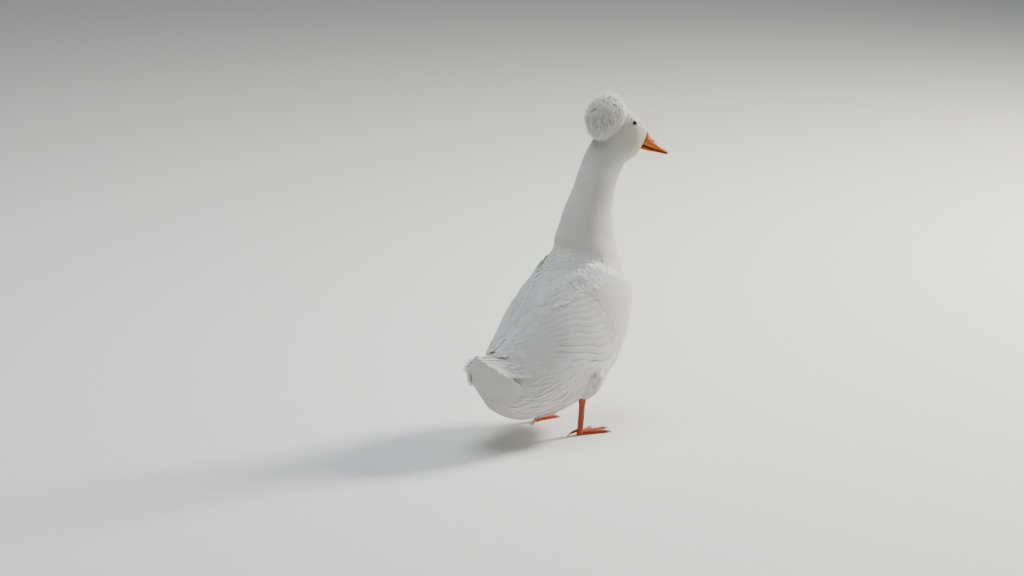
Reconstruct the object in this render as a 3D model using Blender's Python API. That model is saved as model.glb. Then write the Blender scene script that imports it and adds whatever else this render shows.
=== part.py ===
"""A crested duck, life size, standing alert with its head turned to its right.

Metres, +Z up. The duck faces -Y, so its left side is at +X. Sizes below are in millimetres and are
turned into metres by MM. A place is given as (forward, left, up) from the point on the floor midway
between the two shanks, and settle_on_origin moves the finished bird so that the origin is at the
middle of its box, on the floor.
"""

import math

import bmesh
import bpy
import numpy as np
from mathutils import Matrix, Vector

MM = 0.001
GAP = 0.35  # air between two nodes that touch
BODY_SIDES, BODY_STEP = 28, 0.6
FLATTEN = math.radians(2)  # facets nearer to flat than this become one

# The outline of the whole bird from the rump to the bill, head facing forward: at each station the
# back line's forward and up, the belly line's forward and up, the half width, and how far down
# from the back the widest level lies, as a share.
STATIONS = (
    (-184, 172, -184, 142, 22, 0.50),
    (-172, 178, -184, 117, 30, 0.60),
    (-154, 189, -182, 89, 42, 0.64),
    (-129, 208, -167, 65, 57, 0.62),
    (-101, 231, -135, 47, 72, 0.57),
    (-75, 258, -83, 41, 84, 0.53),
    (-52, 278, -22, 45, 88.5, 0.50),
    (-36, 293, 36, 60, 88.5, 0.49),
    (-27.5, 302, 83, 91, 86, 0.48),
    (-22, 309, 117, 138, 82.5, 0.48),
    (-17.5, 315.5, 134.5, 186, 77, 0.50),
    (-11.5, 324, 145, 230, 69, 0.50),
    (-3.5, 337, 132, 268, 59.5, 0.50),
    (-1.5, 354, 121, 303, 56, 0.50),
    (8, 377.5, 111, 342.5, 48.5, 0.50),
    (20, 405, 107.5, 383, 43, 0.50),
    (37.5, 435, 111, 419, 38.5, 0.50),
    (51.5, 465.5, 121, 448.5, 36, 0.50),
    (66.5, 495, 134.5, 467, 33.5, 0.50),
    (79, 517, 138, 475, 31.5, 0.50),
    (91, 538, 147, 480, 29.5, 0.52),
    (103, 555, 155, 484.5, 28, 0.54),
    (119, 567.5, 160.5, 489, 27, 0.56),
    (136.5, 572.5, 163.8, 492.5, 25.5, 0.56),
    (152, 570.5, 165.6, 495.3, 23.5, 0.55),
    (163.5, 561, 166.3, 497.3, 21, 0.54),
    (174, 549, 166.9, 499.0, 18, 0.52),
    (183, 533.5, 167.5, 500.5, 14.5, 0.50),
)
RUMP, NECK_BASE, HEAD_BASE, FACE = 3.0, 12.5, 18.5, 27.0
SQUARENESS = 2.15  # 2 is an ellipse

# The head turns to the bird's right about an upright axis through the top of the neck.
HEAD_TURN = math.radians(-30)
ATLAS_FORWARD = 100
TURN_FROM, TURN_TO = 330, 500

# Eyes.
EYE_RADIUS = 6.2
EYE_FORWARD, EYE_OUT, EYE_UP = 151.5, 17.0, 552.5
LID_RADIUS, LID_THICK = 4.9, 1.0

# Bill, from its slanting base to the tip: the culmen's forward and up, the mouth line's forward
# and up, the half width, and the depth of the lower half under the mouth line.
BILL = (
    (183.1, 532.6, 172.1, 509.3, 13.2, 7.8),
    (187.5, 524.2, 178.0, 506.4, 12.8, 7.2),
    (193.0, 518.0, 184.0, 504.0, 12.3, 6.8),
    (199.0, 512.7, 192.5, 501.0, 11.9, 5.8),
    (206.0, 506.0, 202.0, 497.8, 12.1, 4.2),
    (213.5, 499.8, 211.5, 494.5, 12.4, 3.4),
    (219.3, 494.6, 218.5, 491.9, 10.0, 2.6),
    (222.8, 490.6, 222.5, 489.0, 5.0, 1.6),
)
BILL_GAP = 0.5  # line of the mouth
LOWER_INSET = 1.3
NOSTRIL_FORWARD, NOSTRIL_UP, NOSTRIL_LONG, NOSTRIL_TALL = 190.0, 515.0, 3.4, 1.5
NAIL_FORWARD, NAIL_UP, NAIL_PITCH = 218.6, 494.2, math.radians(42)
NAIL_RADII = (4.2, 5.0, 1.3)

# Crest: a powder puff on the back of the head.
CREST_FORWARD, CREST_UP = 103, 563
CREST_RADIUS, CREST_TALL = 36.5, 41.5
CREST_LEAN = 0.10
CREST_CORE = 0.5
CREST_LOCKS = 47
TO_SKULL, LOCKS_CLEAR = Vector((0, -0.8, -0.6)), 0.8  # no lock starts where the puff sits on the skull
CREST_FROM = 16.0  # the station of the neck down to which the skin is cut out of the puff
LOCK_CURL = ((0.38, 0.0), (0.7, 0.10), (0.92, 0.34), (1.0, 0.62))
LOCK_WIDTHS = (12, 22, 20, 4)
LOCK_THICKS = (4.5, 5.0, 3.6, 1.2)

# Folded wing: for each station of the body, the angles down from the midline of the back at which
# its upper and lower edges lie, in degrees.
WING_FRONT, WING_TIP = 12.0, 0.4
WING_STATIONS = (0.3, 1.8, 3.0, 5.0, 7.0, 9.0, 11.0, 12.0)
WING_UPPER = (12.0, 9.0, 9.0, 13.0, 22.0, 34.0, 52.0, 76.0)
WING_LOWER = (22.0, 36.0, 56.0, 86.0, 112.0, 124.0, 124.0, 106.0)
WING_THICK = 7.5
WING_SUNK = 4.0
WING_LIFT = 6.0  # the wing's tip lies this far over the rump, clear of the tail's coverts
WING_CORE_END = 0.84
# Tiers of the wing's feathers: how many, roots and tips along the wing, the rows' first and last
# shares across it at the roots and at the tips, width, length lost from the top row to the bottom.
WING_TIERS = (
    (4, 0.03, 0.27, 0.15, 0.84, 0.14, 0.87, 32, 0.04),
    (5, 0.17, 0.47, 0.11, 0.89, 0.09, 0.92, 31, 0.05),
    (5, 0.35, 0.67, 0.11, 0.89, 0.08, 0.92, 30, 0.04),
    (5, 0.52, 0.85, 0.12, 0.89, 0.11, 0.91, 24, 0.05),
    (4, 0.69, 1.00, 0.30, 0.80, 0.28, 0.80, 12, -0.01),
)
VANE_TILT = math.radians(5)

# Tail: the roots and tips of its arch of feathers from right to left, as forward, left and up. It
# is carried higher on the right. Its coverts reach a share of the way out over it.
TAIL_FEATHERS, TAIL_WIDTH = 12, 23
TAIL_ROOTS = ((-136, -57, 140), (-146, -36, 166), (-152, 0, 175), (-148, 30, 160), (-141, 48, 122))
TAIL_TIPS = ((-190, -40, 153), (-206, -18, 168), (-217, 8, 178), (-212, 38, 148), (-184, 54, 107))
TAIL_COVERTS, COVERT_WIDTH, COVERT_REACH, COVERT_LIFT = 5, 33, 0.6, 2.5
ROOT_DEEPER = 0.12  # the coverts' roots go this share of their length further in
TAIL_STEPS = (0.0, 0.5, 0.86, 1.0)
TAIL_SAG = 3.0
UNDER_COVERTS, UNDER_WIDTH, UNDER_SPREAD = 4, 34, 1.1
UNDER_STATION = 1.9
UNDER_TIP_FORWARD, UNDER_TIP_HALF, UNDER_TIP_UP = -203, 36, 146

# Legs.
STANCE = 55  # each shank stands this far from the midline
HOCK_FORWARD, HOCK_UP = -8, 72
ANKLE_FORWARD, ANKLE_UP = -14, 11
SHANK_RADIUS, HOCK_RADIUS = 4.6, 6.8
SHANK_SCUTES, SCUTE_RAISED = 7, 0.45
# Thigh: forward, out from the shank, up, radius.
THIGH = (
    (6, 10, 130, 25),
    (4, 13, 112, 26),
    (0, 10, 95, 21),
    (-4, 5, 81, 15),
    (-8, 1, 72, 10),
)
TOE_RADIUS = 4.0
TOES = (
    ("inner", -25, 41),
    ("middle", 0, 56),
    ("outer", 22, 52),
)
TOE_OUT = 8  # degrees that the middle toe points away from straight ahead
HIND_TOE = 15
TOE_STEPS, WEB_STEPS = 8, 3
WEB_THICK = 1.4
CLAW_LONG, CLAW_RADIUS = 7.5, 1.9

# A feather's outline: the share of its length and its height over the flesh, then its widths, as
# shares of the greatest, and thicknesses at the same places.
VANE_RISE = ((0.0, -1.4), (0.45, 0.6), (0.85, 2.0), (1.0, 2.3))
VANE_WIDTHS = (0.6, 1.0, 0.94, 0.34)
VANE_THICKS = (1.8, 1.5, 1.2, 0.8)

WHITE = ("plumage", (0.86, 0.86, 0.83), 0.75)
ORANGE = ("bill_horn", (0.78, 0.25, 0.03), 0.4)
RED_ORANGE = ("leg_skin", (0.70, 0.16, 0.03), 0.5)
DARK = ("eye", (0.01, 0.01, 0.012), 0.06)
CLAW = ("claw", (0.62, 0.42, 0.25), 0.45)


def place(forward, left, up):
    """A point of the bird, in metres."""
    return Vector((left * MM, -forward * MM, up * MM))


def smoothstep(value, low, high):
    share = min(max((value - low) / (high - low), 0.0), 1.0)
    return share * share * (3 - 2 * share)


def turned(point, share=1.0, axis=ATLAS_FORWARD):
    """The point carried round an upright axis by a share of the turn of the head."""
    angle = HEAD_TURN * share
    forward, left = -point.y / MM - axis, point.x / MM
    cos, sin = math.cos(angle), math.sin(angle)
    return place(axis + forward * cos - left * sin, forward * sin + left * cos, point.z / MM)


def along(table, where):
    """A row of a table at any place between its rows, on a smooth curve through them."""
    table = np.asarray(table, float)
    where = min(max(where, 0.0), len(table) - 1.0)
    i = min(int(where), len(table) - 2)
    t = where - i
    p1, p2 = table[i], table[i + 1]
    p0 = table[i - 1] if i > 0 else 2 * p1 - p2
    p3 = table[i + 2] if i + 2 < len(table) else 2 * p2 - p1
    return 0.5 * (
        2 * p1
        + (p2 - p0) * t
        + (2 * p0 - 5 * p1 + 4 * p2 - p3) * t * t
        + (3 * p1 - p0 - 3 * p2 + p3) * t**3
    )


def body_point(station, angle):
    """A point on the skin. The angle runs from the midline of the back, positive to the left."""
    back_f, back_u, belly_f, belly_u, half, widest = along(STATIONS, station)
    cos, sin = math.cos(angle), math.sin(angle)
    across = math.copysign(abs(sin) ** (2 / SQUARENESS), sin) * half
    reach = math.copysign(abs(cos) ** (2 / SQUARENESS), cos)
    down = widest - reach * (widest if cos > 0 else 1 - widest)
    forward = back_f + (belly_f - back_f) * down
    up = back_u + (belly_u - back_u) * down
    share = smoothstep(0.5 * (back_u + belly_u), TURN_FROM, TURN_TO)
    axis = min(0.5 * (back_f + belly_f), ATLAS_FORWARD)
    return turned(place(forward, across, up), share, axis)


def body_normal(station, angle):
    """The outward direction of the skin there."""
    ahead = body_point(station + 0.05, angle) - body_point(station - 0.05, angle)
    round_it = body_point(station, angle + 0.03) - body_point(station, angle - 0.03)
    return ahead.cross(round_it).normalized()


def raised(station, angle, height):
    """A point at a height over the skin."""
    return body_point(station, angle) + body_normal(station, angle) * (height * MM)


def finish_of(slot, colour, roughness):
    """The plain material of a slot, made once."""
    found = bpy.data.materials.get(slot)
    if found:
        return found
    material = bpy.data.materials.new(slot)
    material.use_nodes = True
    shader = material.node_tree.nodes["Principled BSDF"]
    shader.inputs["Base Color"].default_value = (*colour, 1.0)
    shader.inputs["Roughness"].default_value = roughness
    shader.inputs["Metallic"].default_value = 0.0
    return material


def solid(name, points, faces, finish):
    """A mesh object with its faces pointing out."""
    mesh = bpy.data.meshes.new(name)
    mesh.from_pydata([tuple(p) for p in points], [], faces)
    work = bmesh.new()
    work.from_mesh(mesh)
    bmesh.ops.recalc_face_normals(work, faces=work.faces)
    bmesh.ops.triangulate(work, faces=work.faces)
    if work.calc_volume(signed=True) < 0:
        bmesh.ops.reverse_faces(work, faces=work.faces)
    work.to_mesh(mesh)
    work.free()
    mesh.shade_smooth()
    made = bpy.data.objects.new(name, mesh)
    bpy.context.scene.collection.objects.link(made)
    made.data.materials.append(finish_of(*finish))
    return made


def loft(name, rings, finish):
    """A closed skin over rings of equally many points, with a flat end on the first and last."""
    count = len(rings[0])
    points = [p for ring in rings for p in ring]
    faces = []
    for i in range(len(rings) - 1):
        for j in range(count):
            a, b = i * count + j, i * count + (j + 1) % count
            faces.append((a, b, b + count, a + count))
    faces.append(tuple(reversed(range(count))))
    faces.append(tuple(range(len(points) - count, len(points))))
    return solid(name, points, faces, finish)


def circle(centre, across, up, radius, sides, squash=1.0):
    """A ring of points round a centre, in the plane of two unit directions."""
    return [
        centre
        + across * (math.cos(2 * math.pi * i / sides) * radius * MM)
        + up * (math.sin(2 * math.pi * i / sides) * radius * squash * MM)
        for i in range(sides)
    ]


def tube(name, centres, radii, sides, finish, squash=1.0):
    """A round limb along a line of centres."""
    rings = []
    for i, centre in enumerate(centres):
        ahead = centres[min(i + 1, len(centres) - 1)] - centres[max(i - 1, 0)]
        across = ahead.cross(Vector((0, 0, 1)))
        if across.length < 1e-3 * ahead.length:
            across = Vector((1, 0, 0))
        across.normalize()
        up = across.cross(ahead).normalized()
        rings.append(circle(centre, across, up, radii[i], sides, squash))
    return loft(name, rings, finish)


def ball(name, centre, radii, finish, segments=16, rings=10):
    """A closed ellipsoid from Blender's own sphere."""
    bpy.ops.mesh.primitive_uv_sphere_add(
        segments=segments, ring_count=rings, radius=1, location=(0, 0, 0)
    )
    made = bpy.context.active_object
    made.name = name
    made.data.name = name
    for vertex in made.data.vertices:
        vertex.co = Vector((v * r * MM for v, r in zip(vertex.co, radii))) + centre
    made.data.shade_smooth()
    made.data.materials.append(finish_of(*finish))
    return made


def boolean(target, others, operation, solver="MANIFOLD"):
    """Joins or cuts the target by closed meshes in one collection, which are then removed."""
    group = bpy.data.collections.new("boolean_pieces")
    bpy.context.scene.collection.children.link(group)
    for other in others:
        for home in list(other.users_collection):
            home.objects.unlink(other)
        group.objects.link(other)
    step = target.modifiers.new("boolean", "BOOLEAN")
    step.operation = operation
    step.solver = solver
    step.operand_type = "COLLECTION"
    step.collection = group
    bpy.context.view_layer.objects.active = target
    bpy.ops.object.modifier_apply(modifier=step.name)
    for other in others:
        bpy.data.objects.remove(other)
    bpy.data.collections.remove(group)
    return target


def keep_largest(target):
    """Leaves only the largest closed surface of the object, with its nearly flat facets joined."""
    work = bmesh.new()
    work.from_mesh(target.data)
    bmesh.ops.dissolve_limit(work, angle_limit=FLATTEN, verts=work.verts, edges=work.edges)
    bmesh.ops.triangulate(work, faces=work.faces)
    unseen, shells = set(work.faces), []
    while unseen:
        reached, shell = [unseen.pop()], []
        while reached:
            face = reached.pop()
            shell.append(face)
            for edge in face.edges:
                for other in edge.link_faces:
                    if other in unseen:
                        unseen.remove(other)
                        reached.append(other)
        shells.append(shell)
    shells.sort(key=len)
    for shell in shells[:-1]:
        bmesh.ops.delete(work, geom=shell, context="FACES")
    work.to_mesh(target.data)
    work.free()
    target.data.shade_smooth()
    return target


def body_part(name, start, end, step, sides=BODY_SIDES):
    """A length of the skin between two stations, as a closed solid."""
    count = max(2, round((end - start) / step) + 1)
    rings = [
        [body_point(start + (end - start) * i / (count - 1), 2 * math.pi * j / sides) for j in range(sides)]
        for i in range(count)
    ]
    return loft(name, rings, WHITE)


def body_cutter(start, end, grow=GAP):
    """The skin between two stations, swollen by the gap, to cut what lies on it."""
    cutter = body_part("body_cutter", start, end, BODY_STEP)
    for vertex, normal in [(v, v.normal.copy()) for v in cutter.data.vertices]:
        vertex.co = vertex.co + normal * (grow * MM)
    return cutter


def vane(centres, normals, widths, thicks, tilt=0.0):
    """A feather: a thin closed blade along a line, thickest at its shaft."""
    rings = []
    last = len(centres) - 1
    for i, centre in enumerate(centres):
        ahead = (centres[min(i + 1, last)] - centres[max(i - 1, 0)]).normalized()
        normal = normals[i]
        across = ahead.cross(normal).normalized()
        normal = across.cross(ahead).normalized()
        across, normal = (
            across * math.cos(tilt) + normal * math.sin(tilt),
            normal * math.cos(tilt) - across * math.sin(tilt),
        )
        half, thick = widths[i] * MM / 2, thicks[i] * MM / 2
        edge = thick * 0.55
        cup = half * 0.05
        rings.append(
            [
                centre - across * half - normal * (cup - edge),
                centre + normal * thick,
                centre + across * half - normal * (cup - edge),
                centre + across * half - normal * (cup + edge),
                centre - normal * thick,
                centre - across * half - normal * (cup + edge),
            ]
        )
    return loft("vane", rings, WHITE)


def make_torso():
    return body_part("torso", RUMP, NECK_BASE, BODY_STEP)


def make_neck():
    start = NECK_BASE + 0.022
    return body_part("neck", start, HEAD_BASE, BODY_STEP)


def head_outward(side):
    """The direction in which an eye looks, head facing forward."""
    return Vector((side * math.cos(math.radians(22)), -math.sin(math.radians(22)), 0.12)).normalized()


def eye_centre(side):
    return turned(place(EYE_FORWARD, side * EYE_OUT, EYE_UP))


def turned_direction(direction):
    return turned(place(ATLAS_FORWARD, 0, 0) + direction) - turned(place(ATLAS_FORWARD, 0, 0))


def make_lid(side):
    """The swollen ring of skin round an eye."""
    outward = turned_direction(head_outward(side))
    along_lid = Vector((0, 0, 1)).cross(outward).normalized()
    up_lid = outward.cross(along_lid).normalized()
    middle = eye_centre(side) + outward * (math.sqrt(EYE_RADIUS**2 - LID_RADIUS**2) * MM)
    points, faces = [], []
    turns, sides = 12, 4
    for i in range(turns):
        a = 2 * math.pi * i / turns
        spoke = along_lid * math.cos(a) + up_lid * math.sin(a) * 0.9
        for j in range(sides):
            b = 2 * math.pi * j / sides
            points.append(
                middle
                + spoke * ((LID_RADIUS + 0.7 + LID_THICK * math.cos(b)) * MM)
                + outward * (LID_THICK * math.sin(b) * MM)
            )
            c, d = (i + 1) % turns, (j + 1) % sides
            faces.append((i * sides + j, c * sides + j, c * sides + d, i * sides + d))
    return solid("lid", points, faces, WHITE)


def make_head():
    head = body_part("head", HEAD_BASE + 0.022, FACE, BODY_STEP)
    boolean(head, [make_lid(1), make_lid(-1)], "UNION")
    sockets = [
        ball("socket", eye_centre(side), [EYE_RADIUS + GAP] * 3, WHITE, 12, 8) for side in (1, -1)
    ]
    boolean(head, sockets, "DIFFERENCE")
    return keep_largest(head)


def make_eyes():
    for side, name in ((1, "eye_left"), (-1, "eye_right")):
        ball(name, eye_centre(side), [EYE_RADIUS] * 3, DARK, 12, 8)


def bill_ring(row, low, high, inset, sides=14):
    """A section of one half of the bill, between two shares of the line from mouth to culmen."""
    top_f, top_u, mouth_f, mouth_u, half, _ = row
    ahead, up = top_f - mouth_f, top_u - mouth_u
    length = math.hypot(ahead, up)
    middle = low + (high - low) * 0.25
    ring = []
    for i in range(sides):
        angle = 2 * math.pi * i / sides
        across = math.copysign(abs(math.cos(angle)) ** 0.8, math.cos(angle)) * (half - inset)
        lift = math.copysign(abs(math.sin(angle)) ** 0.9, math.sin(angle))
        level = middle + lift * ((high - middle) if lift > 0 else (middle - low))
        forward = mouth_f + ahead * level / length
        ring.append(turned(place(forward, across, mouth_u + up * level / length)))
    return ring


def depth_of(row):
    return math.hypot(row[0] - row[2], row[1] - row[3])


def turned_ball(centre, radii, finish, segments, rings, pitch=0.0):
    """An ellipsoid whose axes turn with the head, dipping forward by the pitch."""
    made = ball("turned_ball", Vector((0, 0, 0)), radii, finish, segments, rings)
    dip = Matrix.Rotation(pitch, 3, "X")
    for vertex in made.data.vertices:
        vertex.co = turned(centre) + turned_direction(dip @ vertex.co)
    return made


def make_bill():
    steps = 2 * (len(BILL) - 1)
    rows = [along(BILL, i * 0.5) for i in range(steps + 1)]
    upper = loft("bill_upper", [bill_ring(r, 0.0, depth_of(r), 0.0) for r in rows], ORANGE)
    nail = turned_ball(place(NAIL_FORWARD, 0, NAIL_UP), NAIL_RADII, ORANGE, 10, 6, NAIL_PITCH)
    boolean(upper, [nail], "UNION")
    hole = place(NOSTRIL_FORWARD, 0, NOSTRIL_UP)
    radii = [3 * BILL[0][4], NOSTRIL_LONG, NOSTRIL_TALL]
    boolean(upper, [turned_ball(hole, radii, ORANGE, 12, 8)], "DIFFERENCE")
    keep_largest(upper)
    rings = [bill_ring(r, -BILL_GAP - r[5], -BILL_GAP, LOWER_INSET) for r in rows[:-1]]
    loft("bill_lower", rings, ORANGE)


def lock(centres, normals, widths, thicks):
    """A tapered lock with four sides, closed to a narrow tip."""
    rings = []
    last = len(centres) - 1
    for i, centre in enumerate(centres):
        ahead = (centres[min(i + 1, last)] - centres[max(i - 1, 0)]).normalized()
        across = ahead.cross(normals[i]).normalized()
        normal = across.cross(ahead).normalized()
        half, thick = widths[i] * MM / 2, thicks[i] * MM / 2
        bow = normal * (0.25 * half)
        rings.append(
            [
                centre - across * half - bow,
                centre + normal * thick,
                centre + across * half - bow,
                centre - normal * thick - bow,
            ]
        )
    return loft("lock", rings, WHITE)


def crest_direction(index, count):
    """Directions spread evenly over a ball."""
    up = 1 - 2 * (index + 0.5) / count
    round_it = index * math.pi * (3 - math.sqrt(5))
    flat = math.sqrt(1 - up * up)
    return Vector((flat * math.cos(round_it), flat * math.sin(round_it), up))


def crest_place(direction, share):
    """A point of the puff, at a share of the way out from its middle."""
    stretched = Vector((direction.x * CREST_RADIUS, direction.y * CREST_RADIUS, direction.z * CREST_TALL))
    stretched += turned_direction(Vector((0, -1, 0))) * (CREST_LEAN * stretched.z)
    return turned(place(CREST_FORWARD, 0, CREST_UP)) + stretched * (share * MM)


def crest_lock(out, index):
    """A short curled lock of the puff, from the core out to the surface of the ball."""
    droop = Vector((0, 0, -1)) + out * out.z
    droop = droop.normalized() if droop.length > 0.1 else turned_direction(Vector((0, 1, 0)))
    side = out.cross(droop).normalized()
    lean = (droop + side * (0.35 * math.sin(index * 2.4))).normalized()
    reach = 1.0 + 0.05 * math.sin(index * 1.7)
    centres = [crest_place((out + lean * bend).normalized(), share * reach) for share, bend in LOCK_CURL]
    return lock(centres, [(out * 0.5 - lean).normalized()] * len(centres), LOCK_WIDTHS, LOCK_THICKS)


def make_crest():
    crest = ball("crest", Vector((0, 0, 0)), [1 / MM] * 3, WHITE, 14, 9)
    for vertex in crest.data.vertices:
        vertex.co = crest_place(vertex.co, CREST_CORE)
    locks = []
    for i in range(CREST_LOCKS):
        out = crest_direction(i, CREST_LOCKS)
        if out.dot(turned_direction(TO_SKULL)) < LOCKS_CLEAR:
            locks.append(crest_lock(out, i))
    boolean(crest, locks, "UNION")
    boolean(crest, [body_cutter(CREST_FROM, FACE)], "DIFFERENCE")
    return keep_largest(crest)


def wing_angle(station, share):
    """The angle down from the midline at a share of the way from the wing's upper to its lower edge."""
    upper = np.interp(station, WING_STATIONS, WING_UPPER)
    lower = np.interp(station, WING_STATIONS, WING_LOWER)
    return math.radians(upper + (lower - upper) * share)


def wing_station(share):
    """The body's station at a share of the way from the shoulder to the wing tip."""
    return WING_FRONT + (WING_TIP - WING_FRONT) * share


def wing_inner_height(along_it):
    """The underside of the folded wing: sunk in the flank, then free of the rump."""
    return -WING_SUNK + (WING_SUNK + WING_LIFT) * smoothstep(along_it, 0.66, 0.82)


def wing_core_height(along_it, across_it):
    """How far the flesh of the folded wing stands over the body."""
    front = smoothstep(along_it, 0.0, 0.10)
    rear = 1 - smoothstep(along_it, 0.25, 0.9)
    crown = math.sin(math.pi * min(max(across_it, 0.0), 1.0)) ** 0.5
    height = 0.6 + (WING_THICK - 1.2) * front * rear * crown + 0.6 * crown
    return max(height, wing_inner_height(along_it) + 1.4)


def wing_point(side, along_it, across_it, height):
    station = wing_station(along_it)
    return raised(station, side * wing_angle(station, across_it), height)


def make_wing_core(side, name):
    rings = []
    lengths, breadth = 10, 6
    for i in range(lengths):
        u = 0.02 + (WING_CORE_END - 0.02) * i / (lengths - 1)
        outer = [
            wing_point(side, u, v / (breadth - 1), wing_core_height(u, v / (breadth - 1)))
            for v in range(breadth)
        ]
        inner = [wing_point(side, u, v / 3, wing_inner_height(u)) for v in range(3, -1, -1)]
        rings.append(outer + inner)
    return loft(name, rings, WHITE)


def wing_vane(side, start, end, width, tilt):
    """One feather of the wing, its root in the flesh and its tip over the next tier's roots."""
    centres, normals = [], []
    for share, lift in VANE_RISE:
        u = start[0] + (end[0] - start[0]) * share
        v = start[1] + (end[1] - start[1]) * share
        centres.append(wing_point(side, u, v, wing_core_height(u, v) + lift))
        station = wing_station(u)
        normals.append(body_normal(station, side * wing_angle(station, v)))
    widths = [width * k for k in VANE_WIDTHS]
    return vane(centres, normals, widths, VANE_THICKS, tilt)


def make_wing(side, name):
    wing = make_wing_core(side, name)
    vanes = []
    for count, root, tip, root_v0, root_v1, tip_v0, tip_v1, width, shorter in WING_TIERS:
        for i in range(count):
            share = i / (count - 1)
            stagger = 0.012 * math.sin(2.3 * i + 9 * root)
            start = (root - 0.5 * shorter * share, root_v0 + (root_v1 - root_v0) * share)
            end = (tip - shorter * share + stagger, tip_v0 + (tip_v1 - tip_v0) * share)
            vanes.append(wing_vane(side, start, end, width, side * VANE_TILT))
    boolean(wing, vanes, "UNION")
    boolean(wing, [body_cutter(0.0, NECK_BASE + 2, 1.5 * GAP)], "DIFFERENCE")
    return keep_largest(wing)


def arch_place(arch, share):
    """A place on an arch of the tail, at a share from -1 on its right to 1 on its left."""
    return place(*along(arch, (share + 1) * (len(arch) - 1) / 2))


def make_tail_vane(share, width, reach=1.0, lift=0.0, deeper=0.0):
    """A feather of the tail or one of its coverts, square to the arch that they form."""
    start, end = arch_place(TAIL_ROOTS, share), arch_place(TAIL_TIPS, share)
    middle = [
        arch_place(TAIL_ROOTS, share + step) + arch_place(TAIL_TIPS, share + step) for step in (-0.1, 0.1)
    ]
    face = (middle[1] - middle[0]).cross(end - start).normalized()
    centres = []
    for t in TAIL_STEPS:
        height = lift - TAIL_SAG * math.sin(math.pi * t * reach)
        centres.append(start.lerp(end, -deeper + t * (reach + deeper)) + face * (height * MM))
    tilt = VANE_TILT * (1 if share > 0 else -1)
    return vane(centres, [face] * len(TAIL_STEPS), [width * k for k in VANE_WIDTHS], VANE_THICKS, tilt)


def spread(count):
    """Shares from -1 to 1 for a row of feathers."""
    return [-1 + 2 * (i + 0.5) / count for i in range(count)]


def under_covert(share):
    """A soft feather under the tail, from the vent back to beneath the tail feathers."""
    around = math.pi - share * UNDER_SPREAD
    start = raised(UNDER_STATION, around, -2.0)
    end = place(UNDER_TIP_FORWARD + 14 * share * share, UNDER_TIP_HALF * share, UNDER_TIP_UP - 4 * share**2)
    face = body_normal(UNDER_STATION, around)
    centres = [start.lerp(end, t) + face * (5.0 * math.sin(math.pi * t) * MM) for t in TAIL_STEPS]
    faces = [(face * (1 - t) + Vector((0, 0, -1)) * t).normalized() for t in TAIL_STEPS]
    return vane(centres, faces, [UNDER_WIDTH * k for k in VANE_WIDTHS], VANE_THICKS)


def make_tail():
    tail = body_part("tail", 0.0, RUMP - 0.022, BODY_STEP)
    vanes = [make_tail_vane(q, TAIL_WIDTH) for q in spread(TAIL_FEATHERS)]
    for q in spread(TAIL_COVERTS):
        vanes.append(make_tail_vane(q, COVERT_WIDTH, COVERT_REACH, COVERT_LIFT, ROOT_DEEPER))
    vanes += [under_covert(q) for q in spread(UNDER_COVERTS)]
    boolean(tail, vanes, "UNION")
    boolean(tail, [body_cutter(RUMP, 2 * RUMP)], "DIFFERENCE")
    return keep_largest(tail)


def make_thigh(side, name):
    """The feathered swelling of the thigh on the flank, down to the hock."""
    centres = [place(f, side * (STANCE + out), up) for f, out, up, _ in THIGH]
    thigh = tube(name, centres, [row[3] for row in THIGH], 18, WHITE)
    boolean(thigh, [body_cutter(RUMP, NECK_BASE), shank_tube("shank_cutter", side, GAP)], "DIFFERENCE")
    return keep_largest(thigh)


def shank_tube(name, side, grow):
    """The shank from inside the belly to the ankle, with its scutes as rings."""
    hock = place(HOCK_FORWARD, side * STANCE, HOCK_UP)
    ankle = place(ANKLE_FORWARD, side * STANCE, ANKLE_UP)
    centres, radii = [hock + (hock - ankle) * 0.35], [HOCK_RADIUS * 0.8 + grow]
    steps = SHANK_SCUTES * 2
    for i in range(steps + 1):
        share = i / steps
        narrow = smoothstep(share, 0.0, 0.35)
        radius = HOCK_RADIUS + (SHANK_RADIUS - HOCK_RADIUS) * narrow
        centres.append(hock.lerp(ankle, share))
        radii.append(radius + (SCUTE_RAISED if i % 2 else 0.0) + grow)
    return tube(name, centres, radii, 9, RED_ORANGE, squash=1.2)


def make_shank(side, name):
    shank = shank_tube(name, side, 0.0)
    boolean(shank, [body_cutter(RUMP, NECK_BASE)], "DIFFERENCE")
    return keep_largest(shank)


def toe_line(side, angle, length, steps):
    """The line of a toe from the ankle forward, bent a little down to the floor."""
    away = math.radians(angle + TOE_OUT)
    line = []
    for i in range(steps + 1):
        t = i / steps
        reach = length * t
        line.append(
            place(
                ANKLE_FORWARD + reach * math.cos(away),
                side * (STANCE + reach * math.sin(away)),
                2.0 + 2.2 * (1 - t) ** 2,
            )
        )
    return line


def make_toe(side, angle, length):
    steps = TOE_STEPS
    line = toe_line(side, angle, length, steps)
    radii = []
    for i in range(steps + 1):
        t = i / steps
        radii.append(TOE_RADIUS * (1 - 0.38 * t) + (0.3 if i % 2 else 0.0))
    return tube("toe", line, radii, 7, RED_ORANGE)


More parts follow.
